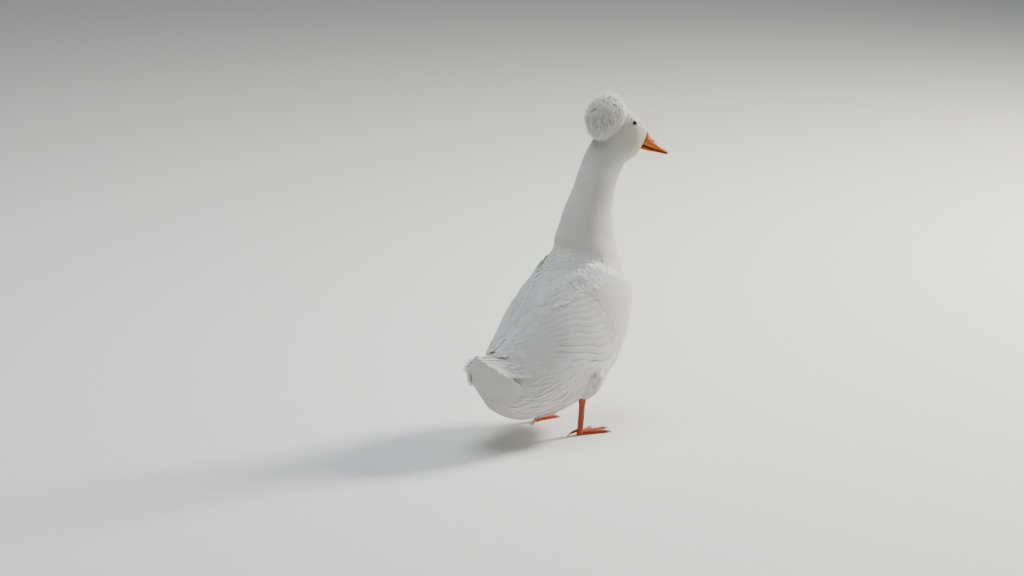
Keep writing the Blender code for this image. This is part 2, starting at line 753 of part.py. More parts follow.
def make_web(side, first, second):
    """The skin between two toes, with a hollow front edge."""
    count = WEB_STEPS
    inner = toe_line(side, first[1], first[2] * 0.97, count)
    outer = toe_line(side, second[1], second[2] * 0.97, count)
    top, bottom = [], []
    for i in range(1, count + 1):
        for j in range(count + 1):
            q = j / count
            hollow = math.sin(math.pi * q)
            base = inner[0].lerp(outer[0], q)
            point = base.lerp(inner[i].lerp(outer[i], q), 1 - 0.14 * hollow)
            level = 1.9 - 0.7 * hollow * i / count
            top.append(Vector((point.x, point.y, (level + WEB_THICK / 2) * MM)))
            bottom.append(Vector((point.x, point.y, (level - WEB_THICK / 2) * MM)))
    row, under = count + 1, len(top)
    faces = []
    for i in range(count - 1):
        for j in range(count):
            a = i * row + j
            faces.append((a, a + 1, a + row + 1, a + row))
            faces.append((under + a, under + a + row, under + a + row + 1, under + a + 1))
    rim = list(range(row)) + [i * row + count for i in range(1, count)]
    rim += [(count - 1) * row + j for j in range(count - 1, -1, -1)]
    rim += [i * row for i in range(count - 2, 0, -1)]
    for a, b in zip(rim, rim[1:] + rim[:1]):
        faces.append((a, b, under + b, under + a))
    return solid("web", top + bottom, faces, RED_ORANGE)


def hind_line(side):
    start = place(ANKLE_FORWARD - 2, side * (STANCE - 2), 9)
    end = place(ANKLE_FORWARD - HIND_TOE, side * (STANCE - 8), 4.6)
    return [start, start.lerp(end, 0.5) + Vector((0, 0, 0.6 * MM)), end]


def make_foot(side, name):
    ankle = place(ANKLE_FORWARD, side * STANCE, ANKLE_UP)
    hock = place(HOCK_FORWARD, side * STANCE, HOCK_UP)
    down = (ankle - hock).normalized()
    top = ankle + down * (GAP + 0.05) * MM
    foot = tube(
        name,
        [top, top + down * 4.5 * MM, top + down * 12 * MM],
        (SHANK_RADIUS + 0.2, SHANK_RADIUS + 1.0, SHANK_RADIUS + 0.4),
        12,
        RED_ORANGE,
        squash=1.2,
    )
    pieces = [make_toe(side, angle, length) for _, angle, length in TOES]
    pieces += [make_web(side, TOES[0], TOES[1]), make_web(side, TOES[1], TOES[2])]
    pieces.append(tube("hind", hind_line(side), (3.2, 2.8, 2.2), 8, RED_ORANGE))
    boolean(foot, pieces, "UNION")
    floor = solid(
        "floor",
        [Vector((x * 0.3, y * 0.3, z)) for z in (-0.1, 0.0) for x, y in ((-1, -1), (1, -1), (1, 1), (-1, 1))],
        [(0, 1, 2, 3), (4, 5, 6, 7), (0, 1, 5, 4), (1, 2, 6, 5), (2, 3, 7, 6), (3, 0, 4, 7)],
        RED_ORANGE,
    )
    boolean(foot, [floor, shank_tube("shank_cutter", side, GAP)], "DIFFERENCE")
    return keep_largest(foot)


def make_claws(side, word):
    lines = [(label, toe_line(side, angle, length, 12)) for label, angle, length in TOES]
    lines.append(("hind", hind_line(side)))
    for label, line in lines:
        ahead = (line[-1] - line[-2]).normalized()
        start = line[-1] + ahead * (GAP + 0.05) * MM
        drops = (0.0, 0.0, 0.5, 1.2)
        centres = [
            start + ahead * (CLAW_LONG * t * MM) - Vector((0, 0, drop * MM))
            for t, drop in zip((0, 0.35, 0.7, 1.0), drops)
        ]
        radii = [CLAW_RADIUS * k for k in (1.0, 0.9, 0.6, 0.2)]
        tube(f"claw_{label}_{word}", centres, radii, 6, CLAW)


def settle_on_origin():
    """Moves every object so that the middle of the bird's box is at x = y = 0."""
    made = [o for o in bpy.context.scene.objects if o.type == "MESH"]
    corners = np.array([v.co for o in made for v in o.data.vertices])
    middle = (corners.min(0) + corners.max(0)) / 2
    for o in made:
        for vertex in o.data.vertices:
            vertex.co.x -= middle[0]
            vertex.co.y -= middle[1]
        o.data.update()


for old in list(bpy.data.objects):
    bpy.data.objects.remove(old)
make_torso()
make_neck()
make_head()
make_eyes()
make_bill()
make_crest()
make_tail()
for side, word in ((1, "left"), (-1, "right")):
    make_wing(side, "wing_" + word)
    make_thigh(side, "thigh_" + word)
    make_shank(side, "shank_" + word)
    make_foot(side, "foot_" + word)
    make_claws(side, word)
settle_on_origin()
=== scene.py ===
import math

import bmesh
import bpy
import numpy as np
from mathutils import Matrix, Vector
from mathutils.bvhtree import BVHTree
from mathutils.kdtree import KDTree


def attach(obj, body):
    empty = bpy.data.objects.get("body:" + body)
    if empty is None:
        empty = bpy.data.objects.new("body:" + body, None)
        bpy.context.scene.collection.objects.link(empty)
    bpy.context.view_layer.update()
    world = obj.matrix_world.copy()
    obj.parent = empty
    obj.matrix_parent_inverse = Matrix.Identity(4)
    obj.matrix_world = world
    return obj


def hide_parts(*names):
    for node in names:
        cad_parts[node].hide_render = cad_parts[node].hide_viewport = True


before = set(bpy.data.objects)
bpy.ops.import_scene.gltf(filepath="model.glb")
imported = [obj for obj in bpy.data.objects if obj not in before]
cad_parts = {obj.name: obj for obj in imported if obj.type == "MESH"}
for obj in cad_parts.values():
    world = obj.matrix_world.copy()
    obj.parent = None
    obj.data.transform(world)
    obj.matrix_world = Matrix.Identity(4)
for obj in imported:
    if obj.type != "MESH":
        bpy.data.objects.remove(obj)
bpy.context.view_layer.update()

MM = 0.001

# Floor, light and camera. A pale matt floor in an even grey room. The main soft lamp stands ahead of
# the bird on its right, so that it grazes the shoulder; a broad cool one hangs overhead. The camera
# stands 4 m behind its right side, a little over its back, with the bird right of the middle.
FLOOR_WIDE = 14
ROOM_GREY, ROOM_STRENGTH = (0.66, 0.68, 0.70, 1), 0.32
# Each lamp's name, place, width in metres, power in watts and colour.
LAMPS = (
    ("key_lamp", (-0.9, -3.1, 2.3), 0.9, 290, (1.0, 0.95, 0.87)),
    ("fill_lamp", (0.3, 0.2, 3.6), 2.2, 95, (0.90, 0.95, 1.0)),
)
LAMPS_AIM = Vector((0, 0, 0.3))
CAMERA_AWAY, LENS, SENSOR = 4.0, 78.125, 36
CAMERA_ROUND, CAMERA_OVER = math.radians(45), math.radians(15)
CAMERA_AIM = Vector((0, -0.0046, 0.3))
AIM_PIXEL = (564, 268)
WIDE, TALL = 1024, 576


def plug(tree, node, inputs):
    """Gives each input of a shader node its value, or links it to the output given for it."""
    for key, value in inputs.items():
        if isinstance(value, bpy.types.NodeSocket):
            tree.links.new(value, node.inputs[key])
        else:
            node.inputs[key].default_value = value


def made_by(tree, kind, output, inputs, **settings):
    """An output of a new shader node with these settings and inputs."""
    node = tree.nodes.new("ShaderNode" + kind)
    for key, value in settings.items():
        setattr(node, key, value)
    plug(tree, node, inputs)
    return node.outputs[output]


def ramp(tree, value, start, end):
    """A colour that runs from one place and colour on a ramp to another."""
    tone = made_by(tree, "ValToRGB", "Color", {"Fac": value})
    for element, (position, colour) in zip(tone.node.color_ramp.elements, (start, end)):
        element.position = position
        element.color = (*colour, 1)
    return tone


def new_finish(name):
    """A new material with its node tree and its shader."""
    made = bpy.data.materials.new(name)
    made.use_nodes = True
    return made, made.node_tree, made.node_tree.nodes["Principled BSDF"]


def new_object(name, data):
    made = bpy.data.objects.new(name, data)
    bpy.context.scene.collection.objects.link(made)
    return made


def aimed(made, location, target):
    """Stands a lamp or the camera at its place, looking at a target."""
    made.location = location
    made.rotation_mode = "QUATERNION"
    made.rotation_quaternion = (target - made.location).to_track_quat("-Z", "Y")


bpy.ops.object.select_all(action="DESELECT")
bpy.ops.mesh.primitive_plane_add(size=FLOOR_WIDE, location=(0, 0, 0))
floor = bpy.context.active_object
floor.name = "studio_floor"
floor_finish, tree, shader = new_finish("pale_floor")
place = made_by(tree, "TexCoord", "Object", {})
speckle = made_by(tree, "TexNoise", "Fac", {"Vector": place, "Scale": 40, "Detail": 6})
tone = ramp(tree, speckle, (0, (0.78, 0.78, 0.77)), (1, (0.84, 0.84, 0.83)))
plug(tree, shader, {"Base Color": tone, "Roughness": 0.85})
floor.data.materials.append(floor_finish)

world = bpy.context.scene.world or bpy.data.worlds.new("room")
bpy.context.scene.world = world
world.use_nodes = True
room = world.node_tree.nodes["Background"]
plug(world.node_tree, room, {"Color": ROOM_GREY, "Strength": ROOM_STRENGTH})

for name, location, size, power, colour in LAMPS:
    lamp = bpy.data.lights.new(name, "AREA")
    lamp.shape = "DISK"
    lamp.size = size
    lamp.energy = power
    lamp.color = colour
    aimed(new_object(name, lamp), location, LAMPS_AIM)

behind = math.cos(CAMERA_OVER) * Vector((-math.sin(CAMERA_ROUND), math.cos(CAMERA_ROUND), 0))
back = behind + Vector((0, 0, math.sin(CAMERA_OVER)))
camera = new_object("camera", bpy.data.cameras.new("camera"))
aimed(camera, CAMERA_AIM + back * CAMERA_AWAY, CAMERA_AIM)
camera.data.lens = LENS
camera.data.sensor_width = SENSOR
camera.data.shift_x = (WIDE / 2 - AIM_PIXEL[0]) / WIDE
camera.data.shift_y = (AIM_PIXEL[1] - TALL / 2) / WIDE
bpy.context.scene.camera = camera

# Skin. The bird's bare body from rump to face, with its thighs and the flesh of both folded wings, as
# one closed hide that lies inside the plumage by its depth; the fatty cushion under the crest is a ball of
# its own.
# Sizes are in mm from the point on the floor midway between the shanks: forward and up of the back
# line, forward and up of the belly line, half width, and how far down the widest level lies.
BODY_ROWS = np.array((
    (-184, 172, -184, 142, 22, 0.50),
    (-172, 178, -184, 117, 30, 0.60),
    (-154, 189, -182, 89, 42, 0.64),
    (-129, 208, -167, 65, 57, 0.62),
    (-101, 231, -135, 47, 72, 0.57),
    (-75, 258, -83, 41, 84, 0.53),
    (-52, 278, -22, 45, 88.5, 0.50),
    (-36, 293, 36, 60, 88.5, 0.49),
    (-27.5, 302, 83, 91, 86, 0.48),
    (-22, 309, 117, 138, 82.5, 0.48),
    (-17.5, 315.5, 134.5, 186, 77, 0.50),
    (-11.5, 324, 145, 230, 69, 0.50),
    (-3.5, 337, 132, 268, 59.5, 0.50),
    (-1.5, 354, 121, 303, 56, 0.50),
    (8, 377.5, 111, 342.5, 48.5, 0.50),
    (20, 405, 107.5, 383, 43, 0.50),
    (37.5, 435, 111, 419, 38.5, 0.50),
    (51.5, 465.5, 121, 448.5, 36, 0.50),
    (66.5, 495, 134.5, 467, 33.5, 0.50),
    (79, 517, 138, 475, 31.5, 0.50),
    (91, 538, 147, 480, 29.5, 0.52),
    (103, 555, 155, 484.5, 28, 0.54),
    (119, 567.5, 160.5, 489, 27, 0.56),
    (136.5, 572.5, 163.8, 492.5, 25.5, 0.56),
    (152, 570.5, 165.6, 495.3, 23.5, 0.55),
    (163.5, 561, 166.3, 497.3, 21, 0.54),
    (174, 549, 166.9, 499.0, 18, 0.52),
    (183, 533.5, 167.5, 500.5, 14.5, 0.50),
))
SQUARENESS = 2.15
HEAD_TURN = math.radians(-30)
ATLAS_FORWARD = 100
TURN_FROM, TURN_TO = 330, 500
SETTLE = np.array((0.0, -0.004613, 0.0))
FACE = 27.0


def smooth(value, low, high):
    share = np.clip((value - low) / (high - low), 0, 1)
    return share * share * (3 - 2 * share)


def along(table, where):
    """Rows of a table at any places between its rows, on a smooth curve through them."""
    rows = np.vstack([2 * table[0] - table[1], table, 2 * table[-1] - table[-2]])
    where = np.clip(np.asarray(where, float), 0, len(table) - 1)
    i = np.minimum(where.astype(int), len(table) - 2)
    t = (where - i)[..., None]
    p0, p1, p2, p3 = rows[i], rows[i + 1], rows[i + 2], rows[i + 3]
    return 0.5 * (2 * p1 + (p2 - p0) * t + (2 * p0 - 5 * p1 + 4 * p2 - p3) * t * t
                  + (3 * p1 - p0 - 3 * p2 + p3) * t ** 3)


def stand(forward, left, up, share=1.0, axis=ATLAS_FORWARD):
    """Points in metres from mm forward, left and up, carried round by a share of the head's turn."""
    turn = HEAD_TURN * np.asarray(share)
    ahead = forward - axis
    x = ahead * np.sin(turn) + left * np.cos(turn)
    y = axis + ahead * np.cos(turn) - left * np.sin(turn)
    return np.stack(np.broadcast_arrays(x, -y, up), -1) * MM + SETTLE


def body_point(station, angle):
    """Points on the outside of the plumage; the angle runs from the midline of the back to the left."""
    station, angle = np.broadcast_arrays(np.asarray(station, float), np.asarray(angle, float))
    back_f, back_u, belly_f, belly_u, half, widest = np.moveaxis(along(BODY_ROWS, station), -1, 0)
    cos, sin = np.cos(angle), np.sin(angle)
    across = np.sign(sin) * np.abs(sin) ** (2 / SQUARENESS) * half
    reach = np.sign(cos) * np.abs(cos) ** (2 / SQUARENESS)
    down = widest - reach * np.where(cos > 0, widest, 1 - widest)
    forward = back_f + (belly_f - back_f) * down
    up = back_u + (belly_u - back_u) * down
    share = smooth(0.5 * (back_u + belly_u), TURN_FROM, TURN_TO)
    axis = np.minimum(0.5 * (back_f + belly_f), ATLAS_FORWARD)
    return stand(forward, across, up, share, axis)


def unit(vectors):
    return vectors / np.maximum(np.linalg.norm(vectors, axis=-1, keepdims=True), 1e-12)


def body_normal(station, angle):
    ahead = body_point(station + 0.05, angle) - body_point(station - 0.05, angle)
    return unit(np.cross(ahead, body_point(station, angle + 0.03) - body_point(station, angle - 0.03)))


def raised(station, angle, height):
    """Points at a height in mm over the body's outside."""
    return body_point(station, angle) + body_normal(station, angle) * (np.asarray(height)[..., None] * MM)


def mesh_of(name, points, faces, sizes):
    """A mesh object from arrays of points, of all faces' corners in a row, and of corners a face."""
    mesh = bpy.data.meshes.new(name)
    mesh.vertices.add(len(points))
    mesh.vertices.foreach_set("co", np.ascontiguousarray(points, np.float32).ravel())
    mesh.loops.add(len(faces))
    mesh.loops.foreach_set("vertex_index", np.ascontiguousarray(faces, np.int32))
    mesh.polygons.add(len(sizes))
    starts = np.concatenate([[0], np.cumsum(sizes)[:-1]])
    mesh.polygons.foreach_set("loop_start", starts.astype(np.int32))
    mesh.polygons.foreach_set("loop_total", np.asarray(sizes, np.int32))
    mesh.polygons.foreach_set("use_smooth", np.ones(len(sizes), bool))
    mesh.update(calc_edges=True)
    return new_object(name, mesh)


def read(items, key, wide, kind=float):
    """One property of all of a mesh's points, edges or corners, as rows of an array."""
    values = np.zeros(len(items) * wide, np.float32 if kind is float else np.int32)
    items.foreach_get(key, values)
    return values.reshape(-1, wide).astype(kind)


def write_points(made, points):
    made.data.vertices.foreach_set("co", points.astype(np.float32).ravel())
    made.data.update()


def tube_faces(rings, sides):
    """The faces of a closed tube of rings: all corners in a row, and how many each face has."""
    i, j = np.meshgrid(np.arange(rings - 1), np.arange(sides), indexing="ij")
    a, b = i * sides + j, i * sides + (j + 1) % sides
    quads = np.stack([a, b, b + sides, a + sides], -1).reshape(-1)
    end = np.arange(sides)
    corners = np.concatenate([quads, end[::-1], end + (rings - 1) * sides])
    return corners, np.array([4] * ((rings - 1) * sides) + [sides, sides])


def reworked(made, step, items, **settings):
    """Runs one step on all faces or points of a piece's mesh."""
    work = bmesh.new()
    work.from_mesh(made.data)
    step(work, **{items: getattr(work, items)}, **settings)
    work.to_mesh(made.data)
    work.free()
    return made


def loft(name, rings):
    """A closed skin over an array of rings of points, (rings, points round, 3)."""
    made = mesh_of(name, rings.reshape(-1, 3), *tube_faces(*rings.shape[:2]))
    return reworked(made, bmesh.ops.recalc_face_normals, "faces")


def select(*pieces):
    """Selects these pieces alone and makes the first one active."""
    bpy.ops.object.select_all(action="DESELECT")
    for piece in pieces:
        piece.select_set(True)
    bpy.context.view_layer.objects.active = pieces[0]


def apply_step(made, kind, **settings):
    """Adds one modifier with its settings and applies it."""
    select(made)
    step = made.modifiers.new(kind.lower(), kind)
    for key, value in settings.items():
        setattr(step, key, value)
    bpy.ops.object.modifier_apply(modifier=step.name)


def joined(name, parts):
    select(*parts)
    bpy.ops.object.join()
    parts[0].name = name
    parts[0].data.name = name
    return parts[0]


def node_copy(name):
    """A free copy of one CAD node with its loose corners merged."""
    made = new_object(name + "_copy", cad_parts[name].data.copy())
    made.data.materials.clear()
    return reworked(made, bmesh.ops.remove_doubles, "verts", dist=1e-5)


def point_tree(points):
    """A tree that finds the nearest of the points."""
    tree = KDTree(len(points))
    for i, point in enumerate(points):
        tree.insert(point, i)
    tree.balance()
    return tree


# Where the folded wings lie: at each station their upper and lower edges, in degrees from the back.
WING_FRONT, WING_TIP = 12.0, 0.4
WING_STATIONS = (0.3, 1.8, 3.0, 5.0, 7.0, 9.0, 11.0, 12.0)
WING_UPPER = (12.0, 9.0, 9.0, 13.0, 22.0, 34.0, 52.0, 76.0)
WING_LOWER = (22.0, 36.0, 56.0, 86.0, 112.0, 124.0, 124.0, 106.0)
WING_THICK, WING_SUNK, WING_LIFT = 7.5, 4.0, 0.8


def wing_edges(station):
    return [np.interp(station, WING_STATIONS, edge) for edge in (WING_UPPER, WING_LOWER)]


def wing_place(u, v):
    """The body's station and angle at shares along and down the wing."""
    station = WING_FRONT + (WING_TIP - WING_FRONT) * u
    upper, lower = wing_edges(station)
    return station, np.radians(upper + (lower - upper) * v)


def wing_share(station, turned):
    """The shares along and down the wing at a station and a turn from the back in degrees."""
    upper, lower = wing_edges(station)
    return (WING_FRONT - station) / (WING_FRONT - WING_TIP), (turned - upper) / (lower - upper)


def wing_height(u, v):
    """How far the wing's flesh stands over the body, in mm."""
    crown = np.sin(np.pi * np.clip(v, 0, 1)) ** 0.5
    swell = smooth(u, 0.0, 0.10) * (1 - smooth(u, 0.25, 0.9))
    height = 0.6 + (WING_THICK - 1.2) * swell * crown + 0.6 * crown
    underside = -WING_SUNK + (WING_SUNK + WING_LIFT) * smooth(u, 0.66, 0.82)
    return np.maximum(height, underside + 1.4)


CREST_FORWARD, CREST_UP = 103, 563
CREST_RADII = np.array((36.5, 36.5, 41.5))
CREST_LEAN = 0.10
crest_middle = stand(CREST_FORWARD, 0, CREST_UP)


def crest_place(direction, share):
    """Points of the puff at shares of the way out from its middle."""
    lean = stand(0.0, 0.0, 0.0) - stand(1.0, 0.0, 0.0)
    reach = direction * CREST_RADII
    reach = reach - (CREST_LEAN * reach[..., 2:]) * lean / MM
    return crest_middle + reach * (np.asarray(share)[..., None] * MM)


SIDES = ((1, "left"), (-1, "right"))
SKIN_VOXEL, SKIN_EASE = 0.0022, 0.6
RING_STEP, RING_SIDES = 0.25, 64
FLESH_FROM, FLESH_TO, FLESH_RINGS, FLESH_ACROSS = 0.03, 0.62, 24, 16
FLESH_INSET, FLESH_DEEP = 1.6, 8.0
stations = np.arange(0.15, FACE + 0.01, RING_STEP)
turns = np.arange(RING_SIDES) * (2 * np.pi / RING_SIDES)
flesh = [loft("flesh_body", body_point(stations[:, None], turns))]
for side, _ in SIDES:
    u = np.linspace(FLESH_FROM, FLESH_TO, FLESH_RINGS)[:, None]
    down = np.linspace(0.02, 0.98, FLESH_ACROSS)
    v = np.concatenate([down, down[::-1]])
    outside = np.arange(2 * FLESH_ACROSS) < FLESH_ACROSS
    lifts = np.where(outside, wing_height(u, v) - FLESH_INSET, -FLESH_DEEP)
    station, angle = wing_place(u, v)
    flesh.append(loft("flesh_wing", raised(station, side * angle, lifts)))
for _, word in SIDES:
    flesh.append(node_copy("thigh_" + word))
skin = joined("skin", flesh)
apply_step(skin, "REMESH", mode="VOXEL", voxel_size=SKIN_VOXEL, use_smooth_shade=True)
apply_step(skin, "SMOOTH", factor=SKIN_EASE, iterations=6)

# A grid of the body's stations and angles tells any point how the plumage is laid where it lies.
grid_s, grid_a = np.arange(0.1, FACE + 0.01, 0.15), np.arange(-180, 180, 5) * np.pi / 180
grid_s, grid_a = np.meshgrid(grid_s, grid_a, indexing="ij")
grid_lie = unit(body_point(grid_s - 0.1, grid_a) - body_point(grid_s + 0.1, grid_a)).reshape(-1, 3)
grid_tree = point_tree(body_point(grid_s, grid_a).reshape(-1, 3))


def on_body(points):
    """The station, angle and lie of the plumage nearest to each point."""
    found = [grid_tree.find(point)[1] for point in points]
    return grid_s.ravel()[found], grid_a.ravel()[found], grid_lie[found]


# Depth of the coat in mm by station, from the rump to the face.
COAT_STATIONS = (0, 3, 8, 12, 15, 19, 21.5, 24, 26, 27)
COAT_DEPTHS = (4.5, 4.5, 4.2, 4.0, 3.4, 2.6, 2.0, 1.5, 1.1, 0.9)
PATCH = 0.003
places, outward = read(skin.data.vertices, "co", 3), read(skin.data.vertices, "normal", 3)
depths = np.interp(on_body(places)[0], COAT_STATIONS, COAT_DEPTHS)
places -= outward * (depths[:, None] * MM)
write_points(skin, places)
apply_step(skin, "SMOOTH", factor=0.5, iterations=3)
select(skin)
skin.data.uv_layers.new(name="OFBake")
bpy.ops.object.mode_set(mode="EDIT")
bpy.ops.mesh.select_all(action="SELECT")
bpy.ops.uv.smart_project(angle_limit=math.radians(60), island_margin=PATCH)
bpy.ops.object.mode_set(mode="OBJECT")


def ranged(tree, value, low, high, top=1.0):
    """A share that runs from 0 at one value to a top at another."""
    inputs = {"Value": value, "From Min": low, "From Max": high, "To Max": top}
    return made_by(tree, "MapRange", "Result", inputs)


def math_of(tree, operation, *values, **settings):
    """The result of one sum, such as an add or a sine, on these values."""
    return made_by(tree, "Math", "Value", dict(enumerate(values)), operation=operation, **settings)


def blend(tree, way, share, first, second):
    """Two colours mixed by a share."""
    inputs = {"Factor": share, "A": first, "B": second}
    return made_by(tree, "Mix", "Result", inputs, data_type="RGBA", blend_type=way)


def bumped(tree, strength, depth, height):
    return made_by(tree, "Bump", "Normal", {"Strength": strength, "Distance": depth, "Height": height})


def far_from(tree, place, centre):
    return made_by(tree, "VectorMath", "Value", {0: place, 1: centre}, operation="DISTANCE")


# In metres: where the cream of the low parts, which is partly soiling and partly painted shade and
# reflected ground colour, starts and is full; where the painted shade up the neck and head starts and
# is full; and how far from the middle of the face its stain starts and is full.
LOW_FROM, LOW_TO, NECK_FROM, NECK_TO, FACE_FROM, FACE_TO = 0.16, 0.04, 0.325, 0.360, 0.085, 0.030
NECK_PAINTED_SHADE, FACE_STAIN = (0.90, 0.895, 0.855, 1), (0.95, 0.93, 0.72, 1)
LOW_SOILING_AND_SHADE, DRIFT_SCALE, DRIFT_CREAM, DRIFT_FROM, DRIFT_TO = 0.8, 16, 0.55, 0.42, 0.68
WHITE, CREAM = (0.87, 0.87, 0.85), (0.80, 0.775, 0.69)


def plumage_tone():
    """A shader group: the white of feathers, warmer in drifts and on the face, creamier low down with
    soiling and painted shade, and greyer up the neck and over the head with painted shade."""
    group = bpy.data.node_groups.new("plumage_tone", "ShaderNodeTree")
    for name, kind in (("White", "Color"), ("Cream", "Color"), ("Grain", "Float")):
        group.interface.new_socket(name=name, in_out="INPUT", socket_type="NodeSocket" + kind)
    for name, kind in (("Color", "Color"), ("Height", "Float")):
        group.interface.new_socket(name=name, in_out="OUTPUT", socket_type="NodeSocket" + kind)
    start, end = group.nodes.new("NodeGroupInput").outputs, group.nodes.new("NodeGroupOutput")
    place = made_by(group, "TexCoord", "Object", {})
    level = made_by(group, "SeparateXYZ", "Z", {"Vector": place})
    drift = made_by(group, "TexNoise", "Fac", {"Vector": place, "Scale": DRIFT_SCALE, "Detail": 5})
    # Low down the cream is partly soiling and partly painted shade and reflected ground colour.
    low = ranged(group, level, LOW_FROM, LOW_TO, LOW_SOILING_AND_SHADE)
    drift = ranged(group, drift, DRIFT_FROM, DRIFT_TO, DRIFT_CREAM)
    warm = math_of(group, "ADD", low, drift, use_clamp=True)
    tone = blend(group, "MIX", warm, start["White"], start["Cream"])
    # Painted shade: from NECK_FROM to NECK_TO and above, the neck and head are greyed as if in shade.
    tone = blend(group, "MULTIPLY", ranged(group, level, NECK_FROM, NECK_TO), tone, NECK_PAINTED_SHADE)
    from_face = far_from(group, place, tuple(stand(188, 0, 520)))
    tone = blend(group, "MULTIPLY", ranged(group, from_face, FACE_FROM, FACE_TO), tone, FACE_STAIN)
    fine = made_by(group, "TexNoise", "Fac", {"Vector": place, "Scale": start["Grain"], "Detail": 3})
    plug(group, end, {"Color": tone, "Height": fine})
    return group


tone_group = plumage_tone()
BARB_SLANT, BARB_DEPTH = -0.16, 0.25


def feather_finish(name, white, cream, roughness, sheen, grain, bump, barbs=0.0):
    """White plumage. Barbs, where given, are fine slanting ridges from the shaft of each feather."""
    made, tree, shader = new_finish(name)
    inputs = {"White": (*white, 1), "Cream": (*cream, 1), "Grain": grain}
    tone = made_by(tree, "Group", "Color", inputs, node_tree=tone_group)
    height = tone.node.outputs["Height"]
    if barbs:
        vane_uv = made_by(tree, "UVMap", "UV", {}, uv_map="vane")
        across = made_by(tree, "SeparateXYZ", "X", {"Vector": vane_uv})
        from_shaft = math_of(tree, "ABSOLUTE", across)
        slant = math_of(tree, "MULTIPLY_ADD", from_shaft, BARB_SLANT, across.node.outputs["Y"])
        ridge = math_of(tree, "SINE", math_of(tree, "MULTIPLY", slant, barbs))
        height = math_of(tree, "MULTIPLY_ADD", ridge, BARB_DEPTH, height)
    plug(tree, shader, {
        "Base Color": tone, "Normal": bumped(tree, bump, 0.0006, height), "Roughness": roughness,
        "Specular IOR Level": 0.25, "Subsurface Weight": 0.35, "Subsurface Radius": (0.003, 0.003, 0.0026),
        "Subsurface Scale": 1.0, "Sheen Weight": sheen, "Sheen Roughness": 0.5,
    })
    return made


def dress(piece, finish, slot, *replaced):
    """Gives a finished piece its material and its body, and hides the nodes that it stands for; the slot is
    not used.
    """
    piece.data.materials.append(finish)
    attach(piece, "root")
    if replaced:
        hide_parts(*replaced)


underdown_finish = feather_finish("white_underdown", WHITE, CREAM, 0.9, 0.0, 300, 0.5)
dress(skin, underdown_finish, "plumage", "torso", "neck", "head", "thigh_left", "thigh_right")

# Small feathers. Thousands of short soft feathers, each a thin closed blade rooted in the skin,
# lie back over one another from the face down the neck and along the body, largest on the flanks
# and smallest round the eyes and bill. They come in drifts, so that none lies quite like the next.
ROOT_GAP, ROOT_TRIES = 0.86, 5


class Hide:
    """The skin's triangles, for roots drawn evenly over it."""

    def __init__(self, made):
        mesh = made.data
        mesh.calc_loop_triangles()
        corners = read(mesh.loop_triangles, "vertices", 3, int)
        loops = read(mesh.loop_triangles, "loops", 3, int)
        self.points = read(mesh.vertices, "co", 3)[corners]
        self.normals = read(mesh.vertices, "normal", 3)[corners]
        self.uv = read(mesh.uv_layers["OFBake"].data, "uv", 2)[loops]
        self.cross = np.cross(self.points[:, 1] - self.points[:, 0], self.points[:, 2] - self.points[:, 0])
        self.area = 0.5 * np.linalg.norm(self.cross, axis=1)
        self.middle = self.points.mean(1)
        self.station, self.angle, self.lie = on_body(self.middle)
        triangles = np.arange(corners.size).reshape(-1, 3).tolist()
        self.tree = BVHTree.FromPolygons(self.points.reshape(-1, 3).tolist(), triangles)
        self.nearest = point_tree(self.middle)

    def near_uv(self, points):
        """The place on the skin's unwrap nearest to each root."""
        return self.uv[[self.nearest.find(point)[1] for point in points]].mean(1)

    def roots(self, spacing, keep):
        """Evenly spread places: the triangle of each, its point, normal and place on the unwrap."""
        weight = self.area / spacing ** 2 * keep
        count = int(weight.sum() * ROOT_TRIES)
        drawn = rng.choice(len(weight), count, p=weight / weight.sum())
        a, b = rng.random(count), rng.random(count)
        flip = a + b > 1
        a, b = np.where(flip, 1 - a, a), np.where(flip, 1 - b, b)
        mix = np.stack([1 - a - b, a, b], -1)[..., None]
        points = (self.points[drawn] * mix).sum(1)
        near = point_tree(points)
        gone, kept = np.zeros(count, bool), []
        reach = spacing[drawn] * ROOT_GAP
        for k in range(count):
            if not gone[k]:
                kept.append(k)
                for _, other, _ in near.find_range(points[k], reach[k]):
                    gone[other] = True
        drawn, mix = drawn[kept], mix[kept]
        return drawn, points[kept], unit((self.normals[drawn] * mix).sum(1)), (self.uv[drawn] * mix).sum(1)

    def follow(self, points, flow, length, steps):
        """Lines that run over the skin from each root along its lie, with the skin's normals."""
        lines, normals = [points], []
        for k in range(len(steps)):
            found = [self.tree.find_nearest(point) for point in lines[-1]]
            lines[-1] = np.array([hit[0] for hit in found])
            normals.append(unit(self.normals[[hit[2] for hit in found]].mean(1)))
            flow = unit(flow - normals[-1] * (flow * normals[-1]).sum(1, keepdims=True))
            if k + 1 < len(steps):
                lines.append(lines[-1] + flow * (length * (steps[k + 1] - steps[k]))[:, None])
        return np.stack(lines, 1), np.stack(normals, 1)


